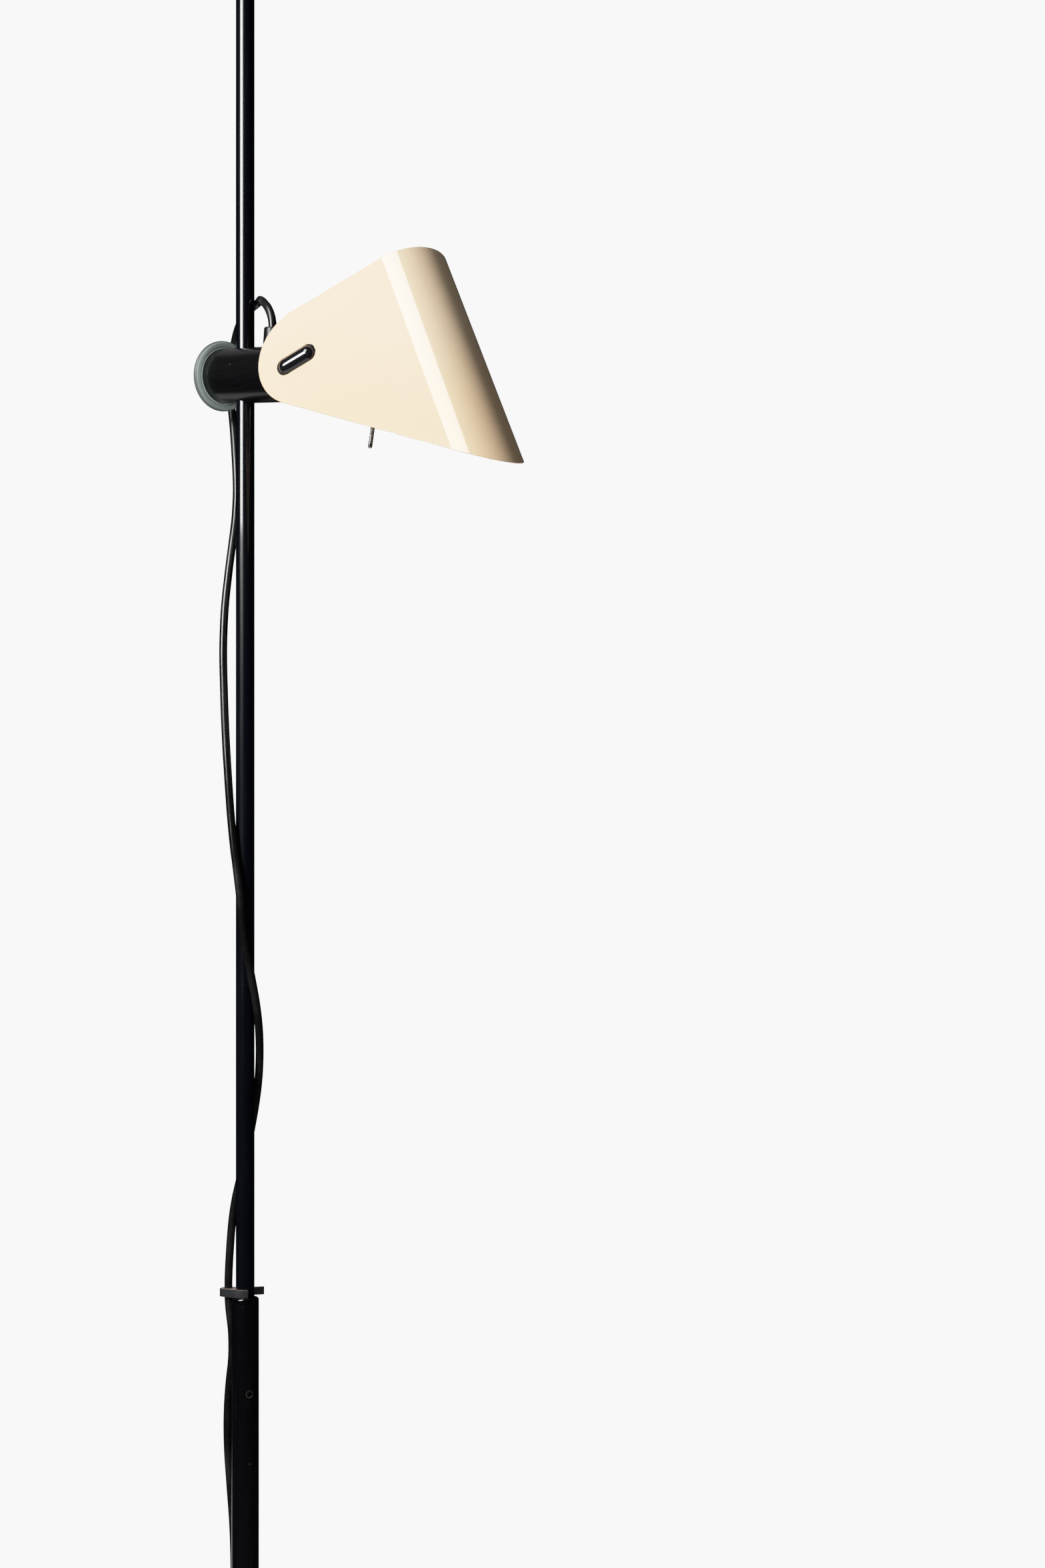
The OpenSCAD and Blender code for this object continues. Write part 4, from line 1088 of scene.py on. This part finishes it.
@dataclass
class Post(Assembly):
    """The telescoping pole with its two rubber ends, bush, lock screw and sprung head."""

    thick_r: float = 12.5
    thick_bore_r: float = 11.0
    thin_r: float = 8.5
    thin_bore_r: float = 7.3
    thick_foot: float = 8.0
    thick_top: float = 846.0
    thin_foot: float = 460.0
    thin_top: float = 2330.0
    bush_foot: float = 740.0
    collar_soft: float = 2.6
    lock_z: float = 763.0
    lock_turn: float = -18.0
    lock_hole_r: float = 3.3
    housing_r: float = 11.0
    housing_top: float = 2394.0
    chamber_r: float = 9.2
    chamber_floor: float = 2334.0
    spring_r: float = 7.1
    spring_turns: int = 8
    spring_wire: float = 1.6

    def _lock_bore(self, radius: float) -> Workpiece:
        """A rod of a radius in millimetres out through the lock screw's hole."""
        return Workpiece().rod(radius, 25.0, shifted(0, 0, self.lock_z) @ turned(self.lock_turn, "Z") @ turned(90, "Y"))

    @staticmethod
    def _pad(foot_r: float, neck_r: float, height: float, socket_r: float, socket_z: float) -> Profile:
        """Profile of a rubber end with a lip, a sweep and a grip ring on its neck.

        Args:
            foot_r: Radius of the foot.
            neck_r: Radius of the neck.
            height: Height of the pad.
            socket_r: Radius of its socket.
            socket_z: Height of the socket's floor.

        Returns:
            The profile, in millimetres.
        """
        lip, sweep = 5.0, height - 6.0
        side = [
            (neck_r + (foot_r - neck_r) * (1 - math.sin(t)), sweep - (sweep - lip) * math.cos(t))
            for t in (math.radians(7.5 * k) for k in range(13))
        ]
        return (
            [(0, 0), (foot_r - 9, 0), (foot_r - 8.4, 0.8), (foot_r - 7.2, 0.8), (foot_r - 6.6, 0)]
            + [(foot_r - 1.5, 0), (foot_r - 0.4, 0.4), (foot_r, 1.5)] + side
            + [(neck_r, sweep + 1.2), (neck_r - 0.6, sweep + 1.6), (neck_r - 0.6, sweep + 2.2), (neck_r, sweep + 2.6)]
            + [(neck_r, height - 1.5), (neck_r - 0.5, height - 0.5), (neck_r - 1.5, height), (socket_r, height)]
            + [(socket_r, socket_z), (0, socket_z)]
        )

    def build(self) -> None:
        """Makes the pole's pieces, from the floor up."""
        foot = Workpiece().lathe(self._pad(28.0, 17.0, 28.0, self.thick_r, 6.0))
        self.settle(foot.piece("floor_foot", RUBBER, 28.0), "floor_post", "rubber", "floor_pad")
        self.dress(NYLON, "foot_plug")
        heights = [self.thick_foot, self.lock_z - 6, self.lock_z + 6, self.thick_top]
        wall = [(self.thick_r, z) for z in heights] + [(self.thick_bore_r, z) for z in reversed(heights)]
        thick = Workpiece().lathe(wall, closed=True).cut(self._lock_bore(self.lock_hole_r)).soften(0.18, 2, 50.0)
        self.settle(thick.piece("thick_tube", THICK_LACQUER, even=True), "floor_post", "black_gloss", "lower_tube")
        self._bush()
        self._worn_rim()
        self.refine("lock_screw", "grub_screw", DARK_STEEL, "lock", "steel", 0.3)
        r, b = self.thin_r, self.thin_bore_r
        wall = [(r, self.thin_foot), (r, self.thin_top), (b, self.thin_top), (b, self.thin_foot)]
        thin = Workpiece().lathe(wall, steps=72, closed=True).soften(0.2)
        self.settle(thin.piece("thin_tube", POST_LACQUER, even=True), "upper_post", "black_gloss", "upper_tube")
        self.dress(NYLON, "tube_guide", "pole_sleeve")
        self._head()

    def _bush(self) -> None:
        """The nylon bush, whose rounded collar closes the thick tube."""
        top, r, bore, soft = LAYOUT.shoulder, self.thick_r, self.thin_r + 0.05, self.collar_soft
        profile = (
            [(bore, self.bush_foot), (self.thick_bore_r, self.bush_foot), (self.thick_bore_r, self.thick_top)]
            + [(r, self.thick_top)] + arc(r - soft, top - soft, soft, 0, 90, 8) + [(bore + 0.5, top), (bore, top - 0.5)]
        )
        bush = Workpiece().lathe(profile, closed=True).cut(self._lock_bore(self.lock_hole_r - 0.25))
        self.settle(bush.piece("tube_collar", COLLAR_LACQUER, 40.0), "floor_post", "nylon", "tube_bush")

    def _worn_rim(self) -> None:
        """The bright worn edge of the lock screw's hole."""
        low, high = self.lock_z - 10, self.lock_z + 10
        outer, inner, far = self.thick_r + 0.03, self.thick_r - 0.5, 30
        rim = self._lock_bore(self.lock_hole_r).cut(self._lock_bore(self.lock_hole_r - 0.45))
        rim.cut(Workpiece().lathe([(outer, low), (far, low), (far, high), (outer, high)], closed=True))
        rim.cut(Workpiece().lathe([(0, low), (inner, low), (inner, high), (0, high)]))
        self.settle(rim.piece("lock_hole_rim", WORN_EDGE), "floor_post", "steel")

    def _head(self) -> None:
        """The sprung head: housing, cap, spring, plunger and ceiling pad."""
        r, top, low = self.housing_r, self.housing_top, self.thin_top - 30
        housing = Workpiece().lathe([
            (r - 0.6, low), (r, low + 0.6), (r, top - 8), (r - 0.3, top - 7.7), (r - 0.3, top - 7.1), (r, top - 6.8),
            (r, top), (self.chamber_r, top), (self.chamber_r, self.chamber_floor), (0, self.chamber_floor),
            (0, self.thin_top), (self.thin_r, self.thin_top), (self.thin_r, low),
        ], steps=72)
        housing = housing.piece("spring_housing", POST_LACQUER, 28.0, even=True)
        self.settle(housing, "upper_post", "black_gloss", "ceiling_housing")
        self.refine(
            "ceiling_cap", "housing_cap", NYLON, "upper_post", "nylon", 0.8, 3, where=lambda p: p.z > (top + 3) * MM
        )
        half_wire, r, steps = self.spring_wire / 2 + 0.01, self.spring_r * MM, self.spring_turns * 24
        low_z, high_z = (self.chamber_floor + half_wire) * MM, (top - 6.1 - 8 - half_wire) * MM
        angles = [math.tau * self.spring_turns * k / steps for k in range(steps + 1)]
        wire = [
            Vector((r * math.cos(a), r * math.sin(a), low_z + (high_z - low_z) * i / steps))
            for i, a in enumerate(angles)
        ]
        spring = Workpiece.tube(wire, self.spring_wire).piece("push_spring", STEEL, 50.0)
        heights = (self.chamber_floor * MM, high_z)
        self.stretch(spring, ("upper_post", "ceiling_foot"), "steel", heights, "ceiling_spring")
        self.refine("ceiling_plunger", "plunger_rod", STEEL, "ceiling_foot", "steel", 0.5)
        hollow = [(12.0, 16.0), (12.0, 12.0), (0.0, 12.0)]
        shape = self._pad(25.0, 14.25, 24.0, 5.0, 16.0)[:-1] + hollow
        pad = Workpiece().lathe(shape, shifted(0, 0, LAYOUT.height) @ turned(180, "X"))
        self.settle(pad.piece("ceiling_foot_pad", RUBBER, 28.0), "ceiling_foot", "rubber", "ceiling_pad")


# Arm, clamp and gland


@dataclass
class Arm(Assembly):
    """The arm tube with what is fixed in it, the clamp and the cord gland."""

    outer_r: float = 25.0
    bore_r: float = 23.5
    rings: tuple[float, ...] = (-31.5, -12, 12, 28, 46, 170, 187, 201, 206)
    pole_hole_r: float = 9.1
    disc_r: float = 32.0
    disc_back: float = 37.4
    disc_t: float = 5.5
    disc_soft: float = 2.2
    boss_h: float = 2.3

    def build(self) -> None:
        """Makes the arm's pieces, from the tube to the leads inside."""
        wall = [(self.outer_r, z) for z in self.rings] + [(self.bore_r, z) for z in reversed(self.rings)]
        holes = Workpiece().rod(self.pole_hole_r, 120, shifted(0, 0, LAYOUT.arm_z - 60), 64)
        holes.rod(6.0, 60, LAYOUT.above(LAYOUT.gland)).rod(5.0, 60, LAYOUT.above(LAYOUT.toggle, -60))
        holes.rod(6.0, 120, LAYOUT.above(LAYOUT.pivot) @ turned(-90, "X") @ shifted(0, 0, -60))
        tube = Workpiece().lathe(wall, LAYOUT.along(), closed=True).cut(holes).soften(0.25, 2, 45.0)
        self.settle(tube.piece("arm_barrel", ARM_LACQUER, even=True), "arm", "black_gloss", "arm_tube")
        self.dress(NYLON, "pole_block", "gland_nut")
        self.dress(BRASS, "clamp_nut", "clamp_saddle")
        self.dress(LEAD_CORES, "inner_leads")
        for node in ("bar_bush_left", "bar_bush_right"):
            self.refine(node, node + "_ring", NYLON, "arm", "nylon", 0.4)
        self.refine("cord_gland", "gland_barrel", GLAND_RUBBER, "arm", "rubber", 0.35, 2, 35.0)
        self._clamp()

    def _clamp(self) -> None:
        """The pale clamp disc and its screw with a hexagon recess."""
        r, t, soft, boss = self.disc_r, self.disc_t, self.disc_soft, self.disc_t + self.boss_h
        profile = (
            [(4.0, 0), (11.5, 0), (12.0, 0.5), (13.2, 0.5), (13.7, 0)] + arc(r - soft, soft, soft, -90, 0, 8)
            + arc(r - soft, t - soft, soft, 0, 90, 8) + [(26.9, t), (26.5, t - 0.35), (25.9, t - 0.35), (25.5, t)]
            + [(0.42 * r, t), (0.38 * r, boss), (4.0, boss)]
        )
        disc = Workpiece().lathe(profile, LAYOUT.along(-self.disc_back), closed=True)
        self.settle(disc.piece("clamp_wheel", KNOB, 34.0), "clamp_knob", "disc_grey", "clamp_disc")
        recess = Workpiece().rod(3.4, 2.2, LAYOUT.along(-self.disc_back - 3.1), 6)
        screw = Workpiece.from_node("clamp_screw").cut(recess).soften(0.35, 2, 40.0)
        self.settle(screw.piece("clamp_bolt", STEEL), "clamp_knob", "steel", "clamp_screw")


# Shade


@dataclass
class Hood(Assembly):
    """The folded shade with its keys, crossbar and screws."""

    key_l: float = 36.0
    key_w: float = 15.0
    key_proud: float = 5.0
    sheet_t: float = 1.2
    top_edge_turn: float = 34.1
    bottom_edge_turn: float = 11.7
    corner_r: float = 44.0
    corner_x: float = 8.3
    corner_z: float = 5.7
    slot_side_gap: float = 0.25
    slot_end_gap: float = 1.5
    fold_steps: int = 56
    corner_steps: int = 48

    def build(self) -> None:
        """Makes the shade and what carries it."""
        sheet = self._sheet()
        length, width = self.key_l + 2 * self.slot_end_gap, self.key_w + 2 * self.slot_side_gap
        for side in Side:
            sheet.cut(Workpiece().slug(length, width, 10.0, LAYOUT.on_plate(side) @ shifted(0, 0, -5)))
        sheet.soften(0.32, 3, over=45.0)
        planes = [(LAYOUT.on_plate(side).to_3x3() @ Vector(UP)).normalized() for side in Side]
        self.settle(sheet.piece("folded_shade", SHADE_ENAMEL, 30.0, even=True, flat=planes), "head", "cream", "shade")
        for side in Side:
            self._key(side)
        self.refine("crossbar", "tilt_bar", STEEL, "head", "steel", 0.4)
        self.dress(STEEL, "key_screw_left", "key_screw_right")

    def _sheet(self) -> Workpiece:
        """The sheet: bent across, drawn along the fold, then trimmed to its outline and thickened inwards."""
        work = Workpiece()
        bm = work.bm
        half, lean = 90 - LAYOUT.plate_lean, math.radians(LAYOUT.plate_lean)
        bend = arc(LAYOUT.fold_reach - LAYOUT.fold_r, 0.0, LAYOUT.fold_r, -half, half, self.fold_steps)
        back, out = (2.2 * LAYOUT.fold_reach * way for way in (math.cos(lean), math.sin(lean)))
        (x0, y0), (x1, y1) = bend[0], bend[-1]
        section = [(x0 - back, y0 - out), *bend, (x1 - back, y1 + out)]
        reach = 4 * LAYOUT.fold_reach * MM
        line = [bm.verts.new((x * MM, y * MM, -reach / 2)) for x, y in section]
        edges = [bm.edges.new(pair) for pair in zip(line, line[1:])]
        grown = bmesh.ops.extrude_edge_only(bm, edges=edges)["geom"]
        bmesh.ops.translate(bm, verts=corners(grown), vec=(0, 0, reach))
        bmesh.ops.transform(bm, verts=bm.verts, matrix=turned(-LAYOUT.fold_turn, "Y"))
        corner = Vector((self.corner_x, 0, self.corner_z)) * MM
        for x, z in arc(0, 0, 1, 90 + self.top_edge_turn, 270 - self.bottom_edge_turn, self.corner_steps):
            away = Vector((x, 0, z))
            trim(bm, corner + away * (self.corner_r * MM), away, clear_outer=True)
        bmesh.ops.recalc_face_normals(bm, faces=bm.faces)
        middle = min(bm.faces, key=lambda f: abs(f.calc_center_median().y))
        if middle.normal.x < 0:
            bmesh.ops.reverse_faces(bm, faces=bm.faces)
        bmesh.ops.solidify(bm, geom=bm.faces[:], thickness=self.sheet_t * MM)
        bmesh.ops.recalc_face_normals(bm, faces=bm.faces)
        bmesh.ops.transform(bm, verts=bm.verts, matrix=LAYOUT.above(LAYOUT.pivot))
        return work

    def _key(self, side: Side) -> None:
        """A capsule key with its flange behind the sheet and its hub on the crossbar.

        Args:
            side: Side of the shade.
        """
        word, place = side.name.lower(), LAYOUT.on_plate(side)
        top = Workpiece().capsule(self.key_l, self.key_w, self.key_w / 2 - self.key_proud, place)
        self.settle(top.piece(f"key_{word}", KEY_MOULDING, 40.0), "head", "key_black")
        under = Workpiece.from_node(f"slot_key_{word}")
        out = place.to_3x3() @ Vector(UP)
        trim(under.bm, place.translation - out.normalized() * (0.3 * MM), out, clear_outer=True)
        self.settle(under.piece(f"key_{word}_back", KEY_MOULDING), "head", "key_black", f"slot_key_{word}")


# Lampholder, bulb and toggle


@dataclass
class Light(Assembly):
    """The lampholder in the arm's end, the bulb and the toggle switch."""

    holder_back: float = 190.0
    skirt_end: float = 224.0
    mouth_r: float = 7.7
    shell_turns: int = 7
    cap_front: float = 221.0
    cap_r: float = 6.85
    globe_r: float = 22.5
    globe_off: float = 29.0
    ball_r: float = 3.4
    tip_r: float = 1.85
    tip_z: float = 40.2

    def build(self) -> None:
        """Makes the electrical pieces."""
        self.refine("end_plug", "arm_end_ring", NYLON, "arm", "nylon", 0.4)
        self._holder()
        self._bulb()
        self._toggle()

    def _holder(self) -> None:
        """The holder with a ribbed skirt, its screw shell and centre contact."""
        back, end, mouth, front = self.holder_back, self.skirt_end, self.mouth_r, LAYOUT.arm_front
        grip: Profile = []
        for z in (front + 3.0 + k * 2.4 for k in range(5)):
            grip += [(14.5, z), (14.0, z + 0.5), (14.0, z + 1.1), (14.5, z + 1.6)]
        profile = (
            [(0, back), (12.0, back), (12.4, back + 0.4), (12.4, front), (14.1, front), (14.5, front + 0.4)] + grip
            + [(14.5, end - 0.8), (13.7, end), (8.3, end), (mouth, end - 0.6), (mouth, back + 8), (0, back + 8)]
        )
        holder = Workpiece().lathe(profile, LAYOUT.along(), 72)
        self.settle(holder.piece("holder_barrel", HOLDER_MOULDING, 28.0), "arm", "holder", "lampholder")
        low, high, steps = back + 11.0, end - 2.0, self.shell_turns * 4
        waves = [
            (7.2 + (0.22 if k % 4 == 2 else 0.11 if k % 2 else 0.0), low + (high - low) * k / steps)
            for k in range(steps, -1, -1)
        ]
        shell = Workpiece().lathe([(mouth - 0.02, low), (mouth - 0.02, high), *waves], LAYOUT.along(), 64, True)
        self.settle(shell.piece("screw_shell", BRASS, 20.0), "arm", "brass", "lamp_shell")
        self.dress(BRASS, "centre_contact")

    def _bulb(self) -> None:
        """The bulb: a threaded cap and a round opal glass."""
        front, r = self.cap_front, self.cap_r
        low = front - 20.0
        thread = [
            (r - 0.45 + 0.45 * (0.5 - 0.5 * math.cos(math.tau * k / 4)), low + 1.5 + 14.0 * k / 28) for k in range(29)
        ]
        profile = (
            [(0, low - 1.4), (2.5, low - 1.4), (4.5, low), (r - 0.6, low)] + thread
            + [(r - 0.2, front - 3.5), (r, front - 2.5), (r, front), (0, front)]
        )
        cap = Workpiece().lathe(profile, LAYOUT.along(), 64)
        self.settle(cap.piece("bulb_thread", STEEL, 50.0), "arm", "steel", "bulb_cap")
        neck = [(0, front), (r, front), (r + 0.35, front + 2.0), (r + 0.9, front + 4.2)]
        glass = neck + arc(0, front + self.globe_off, self.globe_r, -42, 90, 22)
        globe = Workpiece().lathe(glass, LAYOUT.along())
        self.settle(globe.piece("bulb_globe", BULB_GLASS, 60.0), "arm", "bulb_glass", "bulb_glass")

    def _toggle(self) -> None:
        """The toggle switch: body, threaded bushing, nut and lever."""
        self.refine("toggle_switch", "switch_body", HOLDER_MOULDING, "arm", "black_gloss", 0.4, 2, 60.0)
        ridges: Profile = [(3.6, 25.0)]
        for k in range(8):
            ridges += [(4.98, 28.2 + 0.35 * k), (4.75, 28.37 + 0.35 * k)]
        ridges += [(4.7, 31.0), (3.6, 31.0)]
        thread = Workpiece().lathe(ridges, LAYOUT.above(LAYOUT.toggle) @ turned(180, "X"), 48, True)
        self.settle(thread.piece("bushing_thread", STEEL, 20.0), "arm", "steel")
        self.refine("toggle_nut", "bushing_nut", STEEL, "arm", "steel", 0.3, 2, 40.0)
        self.settle(self._lever().piece("switch_lever", LEVER_STEEL, 40.0), "toggle", "black_gloss", "toggle_lever")

    def _lever(self) -> Workpiece:
        """The lever: a ball in the bushing and a slim rod that swells a little to its round tip."""
        ball = [(0.0, -self.ball_r), *arc(0, 0, self.ball_r, -90, 57.6, 12)[1:]]
        stem = [(1.6, 3.4), (1.8, 20.0), (self.tip_r, 36.0), (self.tip_r, self.tip_z)]
        tip = [(x, self.tip_z + 1.8 * z) for x, z in ((self.tip_r * c, s) for c, s in arc(0, 0, 1, 0, 90, 8)[1:-1])]
        place = LAYOUT.above(LAYOUT.toggle, -25.0) @ turned(180 + LAYOUT.droop, "Y")
        return Workpiece().lathe([*ball, *stem, *tip, (0.0, self.tip_z + 1.8)], place, 32)


# Studio


@dataclass
class Studio:
    """The camera, the pale floor and the soft lights."""

    eye: Point = (2.0635, -1.5245, 1.222)
    gaze: Point = (-0.742, 0.670, 0.0)
    lens: float = 64.29
    shift_x: float = 0.00106
    shift_y: float = 0.0668
    white: float = 2.0
    shoulder: tuple[tuple[float, float], ...] = (
        (0.15, 0.15), (0.3, 0.3), (0.5, 0.49), (0.62, 0.59), (0.75, 0.685), (0.9, 0.765), (1.08, 0.835), (1.35, 0.915),
        (1.6, 0.962),
    )
    floor_r: float = 1350.0
    sky: float = 1.45

    def build(self) -> None:
        """Sets up everything round the lamp."""
        self._camera()
        self._floor()
        self._world()
        self._grade()
        self._lights()

    def _camera(self) -> None:
        """The camera, level, where the photograph was taken."""
        data = bpy.data.cameras.new("studio_camera")
        data.lens, data.sensor_width, data.sensor_fit = self.lens, 36.0, "AUTO"
        data.shift_x, data.shift_y = self.shift_x, self.shift_y
        data.clip_start, data.clip_end = 0.05, 60.0
        camera = bpy.data.objects.new("studio_camera", data)
        camera.location = self.eye
        camera.rotation_euler = Vector(self.gaze).to_track_quat("-Z", "Y").to_euler()
        bpy.context.scene.collection.objects.link(camera)
        bpy.context.scene.camera = camera

    def _floor(self) -> None:
        """A round pale floor under the lamp, out of the photograph's view."""
        work = Workpiece().rod(self.floor_r, 20.0, shifted(0, 0, -20.1), 128).soften(6.0, 3)
        work.piece("studio_floor", FLOOR)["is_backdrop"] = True

    def _world(self) -> None:
        """An even white surrounding that only the camera sees."""
        world = bpy.data.worlds.new("studio_world")
        world.use_nodes = True
        world.node_tree.nodes["Background"].inputs["Color"].default_value = (self.sky, self.sky, self.sky, 1.0)
        world.cycles_visibility.glossy = False
        world.cycles_visibility.diffuse = False
        bpy.context.scene.world = world

    def _grade(self) -> None:
        """A soft shoulder in the whites, as the photograph has."""
        view = bpy.context.scene.view_settings
        view.view_transform = "Standard"
        view.use_curve_mapping = True
        mapping = view.curve_mapping
        mapping.white_level = (self.white,) * 3
        for bright, shown in self.shoulder:
            mapping.curves[3].points.new(bright / self.white, shown)
        mapping.update()

    def _lights(self) -> None:
        """Boxes that show in the gloss, and broad fills that don't."""
        post, head, arm = (0.0, 0.0, 2.28), (0.3, 0.0, 1.65), (0.1, 0.0, 1.5)
        for name, place, size, power, shows, target in (
            ("tall_box", (-41.0, 2.3, 2.325), (1.2, 0.95), 88.0, Shows.GLOSS, post),
            ("tall_fill", (-43.0, 2.3, 2.35), (0.5, 1.06), 93.0, Shows.LIGHT, post),
            ("high_box", (-34.0, 2.08, 3.42), (1.27, 1.4), 64.0, Shows.GLOSS, head),
            ("top_fill", (-30.0, 0.8, 4.3), (3.0, 3.0), 36.0, Shows.LIGHT, arm),
            ("low_glow", (-160.0, 2.5, 0.04), (2.4, 1.8), 7.5, Shows.GLOSS, (-2.2, 0.9, 9.0)),
            ("top_glow", (-158.0, 2.0, 3.0), (1.6, 1.0), 1.2, Shows.GLOSS, head),
            ("low_fill", (42.0, 0.9, 0.1), (1.2, 1.2), 10.0, Shows.LIGHT, (0.8, 0.0, 9.0)),
            ("back_fill", (180.0, 4.0, 2.2), (3.0, 2.4), 60.0, Shows.LIGHT, arm),
            ("right_fill", (150.0, 3.6, 2.0), (2.6, 2.2), 60.0, Shows.LIGHT, arm),
            ("left_fill", (-120.0, 3.8, 1.6), (2.6, 2.6), 20.0, Shows.LIGHT, arm),
        ):
            self._box(name, place, size, power, shows, target)

    def _box(self, name: str, place: Point, size: tuple[float, float], power: float, shows: Shows,
             target: Point) -> None:
        """A rectangular soft box that faces the lamp.

        Args:
            name: Light's name.
            place: Degrees to the right of the camera, distance from the pole and height, in metres.
            size: Width and height in metres.
            power: Power in watts.
            shows: Whether it lights the surfaces or shows in their gloss.
            target: Place that it faces.
        """
        turn, distance, height = place
        way = turned(turn, "Z", 3) @ -Vector(self.gaze).normalized()
        spot = way * distance + Vector((0, 0, height))
        data = bpy.data.lights.new(name, "AREA")
        data.shape, data.size, data.size_y, data.energy = "RECTANGLE", *size, power
        light = bpy.data.objects.new(name, data)
        light.location = spot
        light.visible_diffuse, light.visible_glossy = shows.value
        light.visible_camera = False
        light.rotation_euler = (Vector(target) - spot).to_track_quat("-Z", "Y").to_euler()
        bpy.context.scene.collection.objects.link(light)


def write_sizes() -> None:
    """Logs the CAD box and the dressed lamp's box."""
    boxes = {"cad": [list(c) for c in CAD_BOX], "visual": [list(c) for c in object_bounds()]}
    for name, box in boxes.items():
        LOG.info("%s box %s", name, [[round(x, 4) for x in corner] for corner in box])


def main() -> None:
    """Builds the studio, the lead and each sub-assembly, and reports them."""
    logging.basicConfig(level=logging.INFO, format="%(message)s")
    Studio().build()
    for group in (Lead(), Post(), Arm(), Hood(), Light()):
        group.build()
        LOG.info("%s: %d pieces", type(group).__name__, len(group.made))
    write_sizes()


if __name__ == "__main__":
    main()
